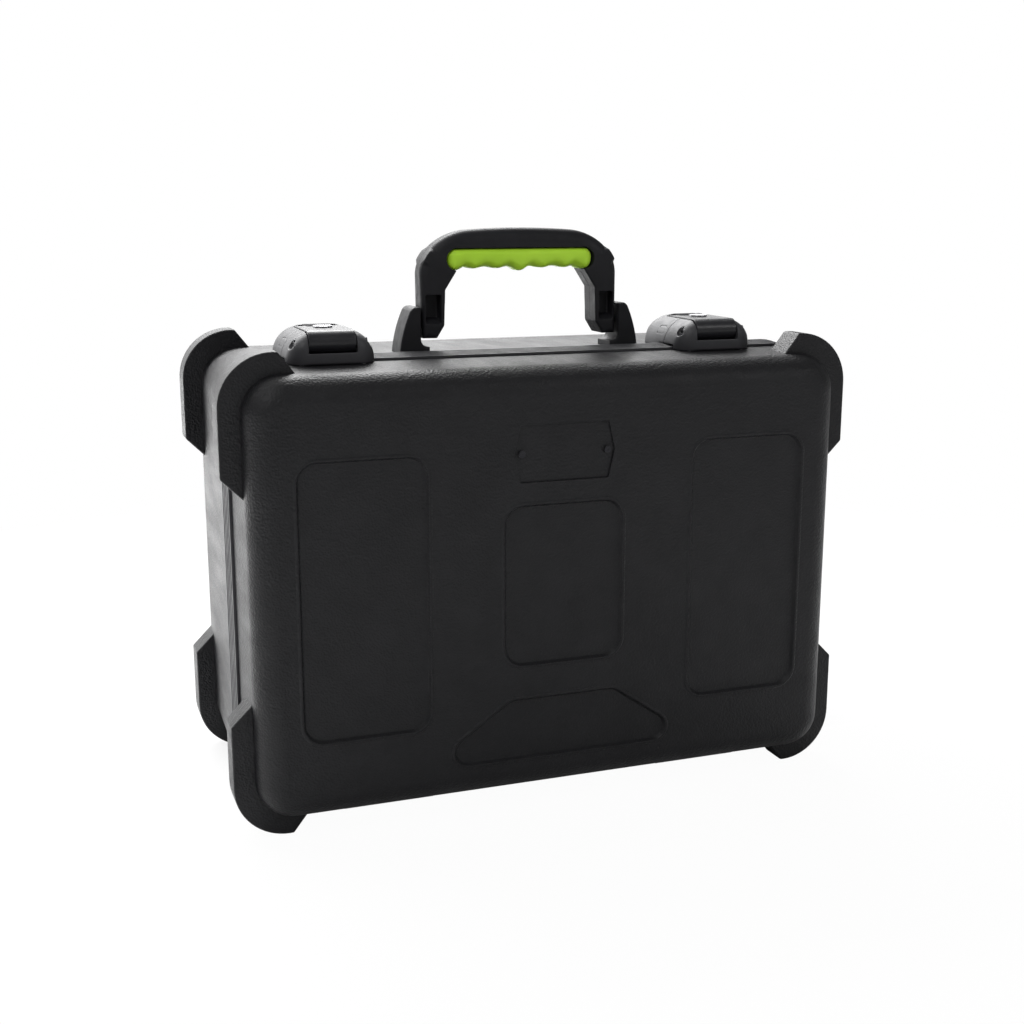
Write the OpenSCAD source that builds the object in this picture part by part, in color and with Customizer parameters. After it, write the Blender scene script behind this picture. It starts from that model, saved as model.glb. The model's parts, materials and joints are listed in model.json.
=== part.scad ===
// Moulded microphone case: two black shells with corner bumpers, hinged along the bottom edge,
// held by two flip latches beside a folding handle with a soft green grip.
// Millimetres. X is the width, the lid's face looks along -Y, Z is up, and the case stands on its
// bumpers. The origin is the middle of the footprint.

/* [Case shells] */
// Width of the base shell at its rim
case_w = 474; // [440:1:520]
// Height of the base shell at its rim
case_h = 333; // [315:1:360]
// Depth of the closed case, lid face to back
case_d = 246; // [238:1:290]
// Depth of the lid, from its face to the parting plane
lid_d = 61.5; // [58:0.5:70]
// How far the lid's edge lies inside the base's, each side
lid_inset = 1.5; // [1:0.1:2.5]
// Wall of both shells
wall = 3.5; // [3:0.1:4.5]
// Thickness of the two large faces, which hold the recessed panels
face_t = 5; // [4.5:0.1:6]
// Corner radius of the shells, seen from the front
corner_r = 30; // [27:0.5:36]
// Round of the lid's front edge
front_round = 20; // [17:0.5:23]
// Round of the base's back edge
rear_round = 24; // [18:0.5:25]
// Taper of the lid's walls, each side
lid_taper = 2.2; // [1.5:0.1:3]
// Taper of the base's walls, each side
base_taper = 3; // [2:0.1:4]

/* [Corner bumpers] */
// How far the bumpers stand out of the base's rim outline
bumper_out = 12; // [11.5:0.5:16]
// Thickness of a bumper, front to back
bumper_t = 24; // [18:1:28]
// Lid face to the lid bumpers' front
bumper_front_set = 21; // [17:0.5:23]
// Base back to the base bumpers' rear
bumper_rear_set = 14; // [10:0.5:20]
// Corner radius of a bumper's outside
bumper_r = 40; // [36:0.5:44]
// Length of a bumper along the top or bottom edge
bumper_len_x = 43; // [41:1:60]
// Length of a bumper down the side
bumper_len_z = 87.5; // [70:0.5:100]

/* [Moulded panels] */
// Depth of the recessed panels
panel_depth = 2.2; // [1.5:0.1:2.6]
// Height of the lip that runs round each recess
panel_lip = 0.6; // [0.4:0.1:1]
// Width of that lip
lip_w = 2.5; // [2:0.1:4]
// Corner radius of the panels
panel_r = 15; // [10:0.5:18]
// Width of the two tall side panels
side_panel_w = 95; // [80:1:100]
// Height of the two tall side panels
side_panel_h = 206; // [160:1:215]
// Middle of a side panel from the case's middle
side_panel_x = 152.5; // [148:0.5:156]
// Width of the middle panel
mid_panel_w = 94.5; // [80:0.5:110]
// Height of the middle panel
mid_panel_h = 123; // [100:1:124]
// Width of the low panel along its top edge
low_panel_top = 100; // [80:1:120]
// Width of the low panel along its bottom edge
low_panel_bottom = 174; // [160:1:190]
// Height of the low panel
low_panel_h = 47.5; // [40:0.5:50]
// Corner radius of the low panel
low_panel_r = 11; // [6:0.5:14]
// Middle of the low panel below the case's middle
low_panel_drop = 111.7; // [110:0.1:114]

/* [Badge] */
// Width of the blank badge plate across its side points
badge_w = 79; // [70:0.5:84]
// Width of the badge plate along its top and bottom
badge_flat_w = 70; // [60:0.5:72]
// Height of the badge plate
badge_h = 42; // [38:0.5:44]
// Middle of the badge above the case's middle
badge_up = 99.8; // [98:0.1:104]
// Thickness of the badge plate
badge_t = 1.2; // [1:0.1:1.6]
// Distance between the two badge screws
badge_screw_pitch = 67.6; // [62:0.2:69]

/* [Rim and seal] */
// Width of the ridged valance that covers the base's rim
valance_w = 24; // [20:1:28]
// Ridges round the valance
valance_ridges = 5; // [4:1:6]
// How far the valance stands out of the base's wall
valance_out = 2.2; // [1.8:0.1:2.6]
// Thickness of the valance across the rim
valance_web = 6.3; // [6:0.1:7.5]
// Inner flange of the valance
valance_flange = 1.6; // [1.4:0.1:2]
// Width of the seal groove
groove_w = 3; // [2.8:0.1:3.2]
// Depth of the seal groove
groove_depth = 3.2; // [3:0.1:3.6]
// Gap between the two rims when the lid is shut
rim_gap = 0.5; // [0.4:0.1:0.8]

/* [Foam] */
// Thickness of the foam pad on the floor of the base
floor_pad_t = 15; // [10:1:20]
// Height of the foam block that holds the microphones
foam_block_t = 150; // [120:1:155]
// Thickness of the foam pad in the lid
lid_foam_t = 32; // [20:1:36]
// Diameter of the holes that the microphones stand in
drop_dia = 54; // [44:1:58]
// Distance between columns of microphone holes
drop_pitch = 82; // [74:1:92]
// Distance between rows of microphone holes
drop_row_pitch = 124; // [80:1:140]
// Rows of microphone holes
drop_rows = 2; // [1:1:2]
// Width of the accessory pocket
pocket_w = 110; // [80:1:120]
// Height of the accessory pocket
pocket_h = 240; // [150:1:260]
// Rib of foam between the microphones and the pocket
foam_rib = 26; // [18:1:32]
// Gap between the foam and the walls
foam_gap = 3; // [2.8:0.1:4]

/* [Hinges] */
// Length of a hinge
hinge_len = 70; // [50:1:90]
// Middle of a hinge from the case's middle
hinge_x = 130; // [90:1:150]
// Radius of the hinge barrel
barrel_r = 3.4; // [3.2:0.1:3.6]
// Radius of the hinge pin
hinge_pin_r = 1.7; // [1.5:0.1:1.9]
// Thickness of a hinge leaf
leaf_t = 1.4; // [1.2:0.1:1.6]
// Reach of the lid's hinge leaf from the pin
lid_leaf_reach = 29; // [27:0.5:32]
// Reach of the base's hinge leaf from the pin
base_leaf_reach = 51; // [48:0.5:56]
// Radius of a rivet's shank
rivet_r = 2; // [1.6:0.1:2.2]
// Height of a rivet's head
rivet_head = 1.5; // [1.2:0.1:1.8]

/* [Handle] */
// Outside width of the handle
handle_w = 161; // [150:1:170]
// Thickness of the handle, front to back
handle_t = 24; // [20:0.5:25]
// Top of the handle above its pivot
handle_rise = 72; // [66:0.5:80]
// Height of the pivot above the base's top wall
pivot_up = 21.5; // [20:0.5:26]
// Width of a handle leg
leg_w = 18.5; // [16:0.5:20]
// Outer corner radius of the handle
handle_r = 31; // [28:0.5:34]
// Radius of the shallow arch along the handle's top
handle_arch_r = 600; // [400:20:900]
// Depth of the pocket in each face of a handle leg
leg_pocket = 7; // [5:0.5:8]
// Length of the soft grip
grip_len = 118.5; // [110:0.5:122]
// Height of the soft grip
grip_h = 15.5; // [13:0.5:17]
// Thickness of the handle's bar above the grip
bar_h = 15.2; // [13:0.2:17]
// How far the grip stands proud of the handle, each side
grip_proud = 1; // [0.6:0.1:1.4]
// Finger bumps along the grip's underside
finger_bumps = 5; // [4:1:6]
// Radius of the handle's pivot pins
handle_pin_r = 3; // [2.5:0.1:3.4]
// Handle's middle plane behind the lid's face
handle_set = 105; // [103:0.5:112]
// Gap between the handle and each bracket
bracket_gap = 1.6; // [0.8:0.1:2.2]
// Width of a handle bracket at its foot
bracket_foot = 24; // [22:0.5:28]
// Thickness of a handle bracket, front to back
bracket_t = 26; // [22:0.5:30]

/* [Latches] */
// Half the distance between the two latches
latch_x = 154.5; // [148:0.5:158]
// How far both latches lie to the left of even placing
latch_shift = 6; // [0:0.5:8]
// Width of a latch housing
latch_w = 66; // [65:0.5:72]
// Height of a latch housing above the base's top wall
latch_h = 23.5; // [23:0.1:25]
// Lid face to the front of the latch
latch_front = 48; // [47:0.5:49.5]
// Lid face to the split between the two latch housings
latch_split = 77.8; // [77:0.1:79]
// Lid face to the rear of the latch
latch_rear = 119; // [116:0.5:124]
// Width of a latch lever
lever_w = 35; // [32:0.5:36]
// Radius of the rolled nose round the lever's pivot
nose_r = 8.3; // [8:0.1:8.5]
// Lid face to the lever's pivot
lever_pivot_set = 58; // [57.5:0.1:58.5]
// Radius of the lever's pivot pin
lever_pin_r = 2.5; // [2:0.1:2.8]
// Radius of the catch bar in the rear housing
catch_r = 2; // [1.6:0.1:2.2]
// Lid face to the catch bar
catch_set = 91; // [90:0.1:92]
// Radius of the lock cylinder
lock_r = 6; // [5:0.1:6.5]
// Lid face to the lock cylinder
lock_set = 83; // [82:0.1:84]

/* [Fits] */
// Clearance between pieces that lie on each other
seat = 0.3; // [0.2:0.05:0.4]
// Radial clearance of a pin in its hole
run_fit = 0.05; // [0.03:0.01:0.08]
// Clearance between pieces that move past each other
side_fit = 0.4; // [0.35:0.05:0.6]

/* [Hidden] */
$fn = 48;

eps = 0.01;
hull_fn = 32;
black = [0.05, 0.05, 0.055];
dark_grey = [0.16, 0.16, 0.17];
zinc = [0.62, 0.62, 0.64];
foam_grey = [0.11, 0.11, 0.12];
lime = [0.55, 0.78, 0.12];

// A place at distance d behind the lid's face
function back(d) = d - case_d / 2;
// Height of the case's middle above the ground
mid_z = case_h / 2 + bumper_out;
// Top walls
base_top = mid_z + case_h / 2;
lid_top = base_top - lid_inset;
lid_w = case_w - 2 * lid_inset;
lid_h = case_h - 2 * lid_inset;

// Rims of the two shells, behind the lid's face
lid_web = 3;
lid_rim = lid_d - lid_web;
valance_front = lid_d + rim_gap / 2;
base_rim = valance_front + valance_web + seat;

// Slope of each shell's walls, and how far a wall has come in at distance d
lid_slope = lid_taper / (lid_rim - panel_lip - front_round);
base_slope = base_taper / (case_d - rear_round - base_rim);
function lid_in(d) = lid_slope * (lid_rim - d);
function base_in(d) = base_slope * (d - base_rim);

// ---- Outlines seen from the front ----

module rounded(w, h, r) {
    square([w - 2 * r, h], center = true);
    square([w, h - 2 * r], center = true);
    for (sx = [-1, 1], sy = [-1, 1])
        translate([sx * (w / 2 - r), sy * (h / 2 - r)]) circle(r);
}

// A plate parallel to the case's face, from d to d + t behind the lid's face
module plate(d, t, z = mid_z) {
    translate([0, back(d + t), z]) rotate([90, 0, 0]) linear_extrude(t) children();
}

// A ring that follows the shells' outline; grow is how far it stands out of the base's wall
module ring(d, t, grow_out, grow_in) {
    plate(d, t) difference() {
        rounded(case_w + 2 * grow_out, case_h + 2 * grow_out, corner_r + grow_out);
        rounded(case_w + 2 * grow_in, case_h + 2 * grow_in, corner_r + grow_in);
    }
}

// ---- Shells ----

// One half of the case as a solid: rim at local z 0, tapered walls, rounded edge at the far face
module shell_form(w, h, r, depth, taper, edge) {
    hull() for (sx = [-1, 1], sy = [-1, 1]) {
        translate([sx * (w / 2 - r), sy * (h / 2 - r), 0]) cylinder(r = r, h = eps, $fn = hull_fn);
        translate([sx * (w / 2 - taper - r), sy * (h / 2 - taper - r), depth - edge])
            rotate_extrude($fn = hull_fn) {
                square([r - edge, edge]);
                translate([r - edge, 0]) intersection() {
                    circle(edge, $fn = hull_fn);
                    square(edge);
                }
            }
    }
}

module lid_form(rim, face, shrink) {
    translate([0, back(rim), mid_z]) rotate([90, 0, 0])
        shell_form(lid_w - 2 * shrink, lid_h - 2 * shrink, corner_r - lid_inset - shrink,
                   rim - face, lid_taper, front_round - shrink);
}

module base_form(rim, face, shrink) {
    translate([0, back(rim), mid_z]) rotate([-90, 0, 0])
        shell_form(case_w - 2 * shrink, case_h - 2 * shrink, corner_r - shrink,
                   face - rim, base_taper, rear_round - shrink);
}

bumper_half_w = case_w / 2 + bumper_out;
bumper_half_h = case_h / 2 + bumper_out;
bumper_root = 6;

// Four L-shaped bumpers; their ends are cut at 45 degrees
module bumpers(d) {
    low = bumper_half_w - bumper_len_x - bumper_half_h;
    high = bumper_half_w - bumper_half_h + bumper_len_z;
    strip = (high - low) / sqrt(2);
    plate(d, bumper_t)
        for (sx = [0, 1], sz = [0, 1]) mirror([sx, 0]) mirror([0, sz]) intersection() {
            difference() {
                rounded(2 * bumper_half_w, 2 * bumper_half_h, bumper_r);
                rounded(case_w - 2 * bumper_root, case_h - 2 * bumper_root,
                        corner_r - bumper_root);
            }
            translate([(low + high) / 2, 0]) rotate(45)
                translate([0, -strip / 2]) square([case_w, strip]);
        }
}

// ---- Panels and badge ----

module low_panel_outline(grow = 0) {
    r = low_panel_r + grow;
    rise = low_panel_h / 2 - low_panel_r;
    hull() for (s = [-1, 1]) {
        translate([s * (low_panel_top / 2 - low_panel_r), rise]) circle(r, $fn = hull_fn);
        translate([s * (low_panel_bottom / 2 - low_panel_r), -rise]) circle(r, $fn = hull_fn);
    }
}

module side_panels(grow = 0) {
    for (s = [-1, 1]) translate([s * side_panel_x, 0])
        rounded(side_panel_w + 2 * grow, side_panel_h + 2 * grow, panel_r + grow);
}

module mid_panel(grow = 0) {
    rounded(mid_panel_w + 2 * grow, mid_panel_h + 2 * grow, panel_r + grow);
}

module front_panels(grow = 0) {
    side_panels(grow);
    mid_panel(grow);
    translate([0, -low_panel_drop]) low_panel_outline(grow);
}

module badge_outline(grow = 0) {
    flat_half = badge_flat_w / 2 + grow;
    point_half = badge_w / 2 + grow;
    half = badge_h / 2 + grow;
    polygon([[-flat_half, -half], [flat_half, -half], [point_half, 0],
             [flat_half, half], [-flat_half, half], [-point_half, 0]]);
}

badge_z = mid_z + badge_up;
badge_screw_r = 1.5;
badge_head_r = 2.6;
badge_nut_r = 3.2;
badge_nut_t = 2;

module lid_shell() color(black) difference() {
    union() {
        lid_form(lid_rim, panel_lip, 0);
        bumpers(bumper_front_set);
        plate(0, 2 * panel_lip) difference() {
            front_panels(lip_w);
            front_panels();
        }
        hinge_pads(lid_d - lid_leaf_reach, lid_rim);
    }
    lid_form(lid_rim + eps, face_t, wall);
    plate(-1, 1 + panel_lip + panel_depth) front_panels();
    plate(-1, 1 + panel_lip + badge_t + seat, badge_z) badge_outline(seat);
    for (s = [-1, 1]) translate([s * badge_screw_pitch / 2, back(-1), badge_z])
        rotate([-90, 0, 0]) cylinder(r = badge_screw_r + run_fit, h = face_t + 2);
    lid_rivet_places() rivet_hole();
    front_screw_places() screw_hole();
}

module base_shell() color(black) difference() {
    union() {
        base_form(base_rim, case_d, 0);
        bumpers(case_d - bumper_rear_set - bumper_t);
        hinge_pads(lid_d + valance_w + 2 * seat, lid_d + base_leaf_reach);
    }
    base_form(base_rim - eps, case_d - face_t, wall);
    plate(case_d - panel_depth, panel_depth + 1) side_panels();
    plate(case_d - panel_depth, panel_depth + 1) mid_panel();
    base_rivet_places() rivet_hole();
    bracket_screw_places() screw_hole();
    rear_screw_places() screw_hole();
}

// ---- Rim: valances, groove and seal ----

groove_mid = -2.7;
tongue_w = 1.4;
tongue_len = 1.6;
seal_t = 1.4;
seal_w = 1.8;

// The first ridge's height, a ridge's share of the pitch and the depth between two ridges
first_ridge = 0.8;
ridge_share = 0.72;
ridge_depth = 0.5;
// How far the inner flange reaches behind the base's rim
flange_len = 8;

module base_valance() color(dark_grey) difference() {
    union() {
        pitch = valance_w / valance_ridges;
        for (i = [0 : valance_ridges - 1]) {
            rise = first_ridge + (valance_out - first_ridge) * i / (valance_ridges - 1);
            ring(valance_front + i * pitch, pitch * ridge_share, rise, -wall - valance_flange - seat);
            ring(valance_front + i * pitch, pitch, rise - ridge_depth, -wall - valance_flange - seat);
        }
    }
    ring(base_rim - seat, valance_w, seat, -wall - seat);
    ring(base_rim + flange_len, valance_w, -wall, -wall - valance_flange - 1);
    ring(valance_front - eps, groove_depth, groove_mid + groove_w / 2, groove_mid - groove_w / 2);
}

module valance_seal() color(black)
    ring(valance_front + groove_depth - seat / 2 - seal_t, seal_t,
         groove_mid + seal_w / 2, groove_mid - seal_w / 2);

module lid_valance() color(dark_grey) {
    front = lid_rim + seat;
    rear = lid_d - rim_gap / 2;
    inner = -lid_inset - wall - valance_flange - seat;
    ring(front, rear - front, -lid_inset, inner);
    ring(front - 3, 3 + eps, -lid_inset - wall - seat, inner);
    ring(rear - eps, tongue_len, groove_mid + tongue_w / 2, groove_mid - tongue_w / 2);
}

// ---- Foam ----

block_d = case_d - face_t - seat - floor_pad_t - seat - foam_block_t;
foam_shrink = wall + foam_gap;
// Each column of microphone holes is a block of its own, and a fourth block holds the pocket
drop_cols = 3;
grid_x = -(pocket_w + foam_rib) / 2;
pocket_x = (drop_cols * drop_pitch + foam_rib) / 2;
pocket_corner = 12;
// Left side of column i of the holes, counted from 0
function column_side(i) = grid_x + (i - drop_cols / 2) * drop_pitch;

module floor_pad() color(foam_grey) intersection() {
    base_form(base_rim, case_d - face_t - seat, foam_shrink);
    plate(case_d - face_t - seat - floor_pad_t, floor_pad_t) square([case_w, case_h], center = true);
}

module drop_holes() {
    for (c = [0 : drop_cols - 1], r = [0 : drop_rows - 1])
        translate([grid_x + (c - (drop_cols - 1) / 2) * drop_pitch,
                   (r - (drop_rows - 1) / 2) * drop_row_pitch]) circle(drop_dia / 2);
}

// The foam from x0 to x1, with the holes and the pocket that lie in it
module foam_block(x0, x1) color(foam_grey) difference() {
    intersection() {
        base_form(base_rim, case_d - face_t - seat, foam_shrink);
        plate(block_d, foam_block_t) translate([x0, -case_h / 2]) square([x1 - x0, case_h]);
    }
    plate(block_d - 1, foam_block_t + 2) {
        drop_holes();
        translate([pocket_x, 0]) rounded(pocket_w, pocket_h, pocket_corner);
    }
}

module microphone_foam(i)
    foam_block(i == 0 ? -case_w / 2 : column_side(i) + seat / 2, column_side(i + 1) - seat / 2);

module pocket_foam() foam_block(column_side(drop_cols) + seat / 2, case_w / 2);

module lid_foam() color(foam_grey) difference() {
    intersection() {
        lid_form(lid_rim, face_t + seat, foam_shrink);
        plate(face_t + seat, lid_foam_t) square([case_w, case_h], center = true);
    }
    for (s = [-1, 1]) translate([s * badge_screw_pitch / 2, back(face_t), badge_z])
        rotate([-90, 0, 0]) cylinder(r = badge_nut_r + seat, h = seat + badge_nut_t + 2);
}

// ---- Badge ----

module badge_plate() color(black) difference() {
    plate(panel_lip, badge_t, badge_z) badge_outline();
    for (s = [-1, 1]) translate([s * badge_screw_pitch / 2, back(-1), badge_z])
        rotate([-90, 0, 0]) cylinder(r = badge_screw_r + run_fit, h = badge_t + 3);
}

module badge_screws() color(black)
    for (s = [-1, 1]) translate([s * badge_screw_pitch / 2, back(panel_lip), badge_z])
        rotate([-90, 0, 0]) {
            cylinder(r = badge_screw_r, h = face_t - panel_lip + seat + badge_nut_t);
            difference() {
                translate([0, 0, -panel_lip]) cylinder(r = badge_head_r, h = panel_lip);
                translate([0, 0, -panel_lip - eps]) {
                    cube([3.4, 0.7, 0.7], center = true);
                    cube([0.7, 3.4, 0.7], center = true);
                }
            }
            translate([0, 0, face_t - panel_lip + seat])
                cylinder(r = badge_nut_r, h = badge_nut_t);
        }

// ---- Hinges, under the bottom edge ----

valance_bottom = mid_z - case_h / 2 - valance_out;
pad_z = valance_bottom - seat;
leaf_top = pad_z - seat / 2;
axis_z = leaf_top - barrel_r;
axis_y = back(lid_d);
knuckles = 5;
knuckle_gap = 0.4;

module hinge_pads(d_front, d_rear) {
    for (s = [-1, 1])
        translate([s * hinge_x - hinge_len / 2 - 3, back(d_front), pad_z])
            cube([hinge_len + 6, d_rear - d_front, mid_z - case_h / 2 + 4 - pad_z]);
}

// Barrel knuckles; odd = 0 gives the base's, odd = 1 the lid's
module knuckle_row(odd) {
    len = hinge_len / knuckles;
    for (i = [odd : 2 : knuckles - 1])
        translate([-hinge_len / 2 + i * len + knuckle_gap / 2, 0, 0])
            rotate([0, 90, 0]) cylinder(r = barrel_r, h = len - knuckle_gap);
}

// The strip that joins each knuckle to its leaf
module knuckle_straps(odd, dir) {
    len = hinge_len / knuckles;
    for (i = [odd : 2 : knuckles - 1])
        translate([-hinge_len / 2 + i * len + knuckle_gap / 2,
                   dir > 0 ? 0 : -barrel_r - 1, barrel_r - leaf_t])
            cube([len - knuckle_gap, barrel_r + 1, leaf_t]);
}

module leaf(s, odd, dir, reach) {
    translate([s * hinge_x, axis_y, axis_z]) difference() {
        union() {
            knuckle_row(odd);
            knuckle_straps(odd, dir);
            translate([-hinge_len / 2, dir > 0 ? barrel_r + 0.8 : -reach, barrel_r - leaf_t])
                cube([hinge_len, reach - barrel_r - 0.8, leaf_t]);
        }
        translate([-hinge_len, 0, 0]) rotate([0, 90, 0])
            cylinder(r = hinge_pin_r + run_fit, h = 2 * hinge_len);
        for (place = rivet_spots(dir, reach))
            translate([place[0], place[1], 0]) cylinder(r = rivet_r + run_fit, h = 2 * barrel_r);
    }
}

// Rivet positions of one leaf, measured from the hinge's middle
rivet_edge = 9;
function rivet_spots(dir, reach) =
    [for (i = [-1 : 1]) [i * (hinge_len / 2 - rivet_edge), dir * (reach - rivet_edge)]];

module base_hinge_leaf(s) color(zinc) leaf(s, 0, 1, base_leaf_reach);
module lid_hinge_leaf(s) color(zinc) leaf(s, 1, -1, lid_leaf_reach);

module hinge_pin(s) color(zinc) translate([s * hinge_x - hinge_len / 2 - 1, axis_y, axis_z])
    rotate([0, 90, 0]) cylinder(r = hinge_pin_r, h = hinge_len + 2);

module lid_rivet_places() {
    for (s = [-1, 1], p = rivet_spots(-1, lid_leaf_reach))
        translate([s * hinge_x + p[0], axis_y + p[1], leaf_top - leaf_t]) children();
}

module base_rivet_places() {
    for (s = [-1, 1], p = rivet_spots(1, base_leaf_reach))
        translate([s * hinge_x + p[0], axis_y + p[1], leaf_top - leaf_t]) children();
}

module rivet_hole() {
    translate([0, 0, -barrel_r]) cylinder(r = rivet_r + run_fit, h = 7 * barrel_r);
}

// A rivet through a leaf, its pad and the wall; rise is the top of the wall's inside
module rivet(rise) {
    translate([0, 0, -seat / 2]) {
        translate([0, 0, -rivet_head]) cylinder(r = 2 * rivet_r, h = rivet_head);
        translate([0, 0, -eps]) cylinder(r = rivet_r, h = rise + seat + rivet_head);
        translate([0, 0, rise + seat]) cylinder(r = 1.8 * rivet_r, h = rivet_head);
    }
}

// From the underside of a leaf to the inside of the bottom wall, at the base's rim
floor_rise = mid_z - case_h / 2 + wall - (leaf_top - leaf_t);

module lid_hinge_rivets() color(zinc) lid_rivet_places()
    rivet(floor_rise + lid_inset + lid_in(lid_d - lid_leaf_reach + rivet_edge - 2 * rivet_r));

module base_hinge_rivets() color(zinc) base_rivet_places()
    rivet(floor_rise + base_in(lid_d + base_leaf_reach - rivet_edge + 2 * rivet_r));

// ---- Screws driven upwards from inside the case ----

screw_r = 1.8;
screw_head_r = 3.2;
screw_head_t = 2;
screw_bite = 9;
// A blind hole starts below the sloping wall and ends just past the screw
hole_start = 2;
hole_len = hole_start + screw_bite + 0.5;
front_screw_d = 52;
front_screw_x = 22.5;
rear_screw_d = 110;
rear_screw_x = 22.5;
bracket_screw_pitch = 14;

module screw_hole() {
    translate([0, 0, -wall - 4]) cylinder(r = screw_r + run_fit, h = wall + 8);
}

// A screw whose head lies under the wall; local z 0 is the wall's outside
module screw(depth_in) {
    translate([0, 0, -depth_in - seat - screw_head_t]) difference() {
        cylinder(r = screw_head_r, h = screw_head_t);
        translate([0, 0, -eps]) cylinder(r = 1.2, h = 1.2, $fn = 6);
    }
    translate([0, 0, -depth_in - seat - eps])
        cylinder(r = screw_r, h = depth_in + seat + screw_bite);
}

module front_screw_places() {
    for (s = [-1, 1], x = [-1, 1])
        translate([latch_mid(s) + x * front_screw_x, back(front_screw_d), lid_top]) children();
}

module rear_screw_places() {
    for (s = [-1, 1], x = [-1, 1])
        translate([latch_mid(s) + x * rear_screw_x, back(rear_screw_d), base_top]) children();
}

module bracket_screw_places() {
    for (s = [-1, 1], y = [-1, 1])
        translate([s * bracket_x, back(handle_set) + y * bracket_screw_pitch / 2, base_top])
            children();
}

module front_housing_screws() color(zinc)
    front_screw_places() screw(wall + lid_in(front_screw_d - screw_head_r));

module rear_housing_screws() color(zinc)
    rear_screw_places() screw(wall + base_in(rear_screw_d + screw_head_r));

module bracket_screws() color(zinc)
    bracket_screw_places() screw(wall + base_in(handle_set + bracket_screw_pitch / 2 + screw_head_r));

// ---- Handle ----

pivot_y = back(handle_set);
pivot_z = base_top + pivot_up;
handle_top = pivot_z + handle_rise;
handle_bottom = pivot_z - 11;
grip_top = handle_top - bar_h;
leg_in = handle_w / 2 - leg_w;
toe_reach = 7;
bracket_in = handle_w / 2 + bracket_gap;
bracket_out = bracket_in + bracket_foot - toe_reach;
bracket_x = bracket_in + 9;
bracket_high = pivot_z + 13;
// The opening under the grip: its upper corners and the chamfers at the legs' feet
gap_corner_x = 9.5;
gap_corner_up = 25.5;
gap_corner_z = pivot_z + gap_corner_up;
foot_chamfer = 6.5;
foot_chamfer_z = pivot_z - 1.5;

module across_handle(t) {
    translate([0, pivot_y + t / 2, 0]) rotate([90, 0, 0]) linear_extrude(t) children();
}

// One side of the opening under the grip, from its foot to its upper corner
function gap_side(s) = [[s * (leg_in + foot_chamfer), handle_bottom - 1], [s * leg_in, foot_chamfer_z],
                        [s * leg_in, gap_corner_z], [s * (leg_in - gap_corner_x), grip_top - grip_h]];

module handle_outline() {
    half = handle_w / 2;
    difference() {
        intersection() {
            union() {
                translate([-half, handle_bottom])
                    square([handle_w, handle_top - handle_r - handle_bottom]);
                translate([-half + handle_r, handle_bottom])
                    square([handle_w - 2 * handle_r, handle_top - handle_bottom]);
                for (s = [-1, 1]) translate([s * (half - handle_r), handle_top - handle_r])
                    circle(handle_r);
            }
            translate([0, handle_top - handle_arch_r]) circle(handle_arch_r, $fn = 360);
        }
        polygon([for (p = gap_side(-1)) p, for (i = [3 : -1 : 0]) gap_side(1)[i]]);
    }
}

// How far the grip's plain underside lies above the lowest point of its round ends
grip_belly = 2;

module grip_outline(grow = 0) {
    r = grip_h / 2;
    translate([0, grip_top - r]) {
        for (s = [-1, 1]) translate([s * (grip_len / 2 - r), 0]) circle(r + grow);
        translate([-grip_len / 2 + r, grip_belly - r - grow])
            square([grip_len - 2 * r, grip_h - grip_belly + 2 * grow]);
    }
}

bump_pitch = (grip_len - grip_h) / (finger_bumps + 0.6);
bump_r = 14;
bump_share = 0.9;
bump_depth = 8;

module finger_bumps_outline() {
    for (i = [0 : finger_bumps - 1])
        translate([(i - (finger_bumps - 1) / 2) * bump_pitch, grip_top - grip_h - 1 + bump_r])
            intersection() {
                circle(bump_r);
                translate([0, -bump_r]) square([bump_pitch * bump_share, bump_depth], center = true);
            }
}

pocket_size = [12, 22];
pocket_out = 0.5;

// A pocket in both faces of each leg, above its pivot
module leg_pockets() {
    for (sx = [-1, 1], sy = [-1, 1])
        translate([sx * (leg_in + leg_w / 2 + pocket_out), pivot_y + sy * handle_t / 2,
                   pivot_z + pocket_size[1] / 2])
            cube([pocket_size[0], 2 * leg_pocket, pocket_size[1]], center = true);
}

module handle_frame() color(black) difference() {
    across_handle(handle_t) handle_outline();
    across_handle(handle_t + 2) grip_outline(seat / 2);
    gap_half = leg_in - gap_corner_x;
    across_handle(handle_t + 2)
        translate([-gap_half, grip_top - grip_h - grip_belly]) square([2 * gap_half, grip_h]);
    leg_pockets();
    for (s = [-1, 1]) translate([s * handle_w / 2, pivot_y, pivot_z]) rotate([0, 90, 0])
        cylinder(r = handle_pin_r + run_fit, h = 2 * (handle_pin_in), center = true);
}

module handle_grip() color(lime) {
    across_handle(handle_t + 2 * grip_proud) grip_outline();
    across_handle(handle_t + 2 * grip_proud) finger_bumps_outline();
}

handle_pin_in = 13;
handle_pin_out = 9;

module handle_pin(s) color(zinc)
    translate([s * (handle_w / 2 + (handle_pin_out - handle_pin_in) / 2), pivot_y, pivot_z])
        rotate([0, 90, 0])
            cylinder(r = handle_pin_r, h = handle_pin_in + handle_pin_out - 1, center = true);

// A horn-shaped post outside each leg, with a low toe reaching under it
module bracket_outline() {
    foot = base_top - base_taper;
    curve_r = 100;
    curve_drop = 10;
    toe_t = 2;
    fillet_r = 3;
    intersection() {
        translate([bracket_in, foot]) square([bracket_out - bracket_in, bracket_high - foot]);
        translate([bracket_out - sqrt(pow(curve_r, 2) - pow(curve_drop, 2)), base_top - curve_drop])
            circle(curve_r, $fn = 180);
    }
    translate([bracket_in - toe_reach, foot])
        square([toe_reach + 1, base_top + seat + toe_t - foot]);
    difference() {
        translate([bracket_in - fillet_r, foot])
            square([fillet_r + 1, base_top + seat + toe_t + fillet_r - foot]);
        translate([bracket_in - fillet_r, base_top + seat + toe_t + fillet_r]) circle(fillet_r);
    }
}

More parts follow.
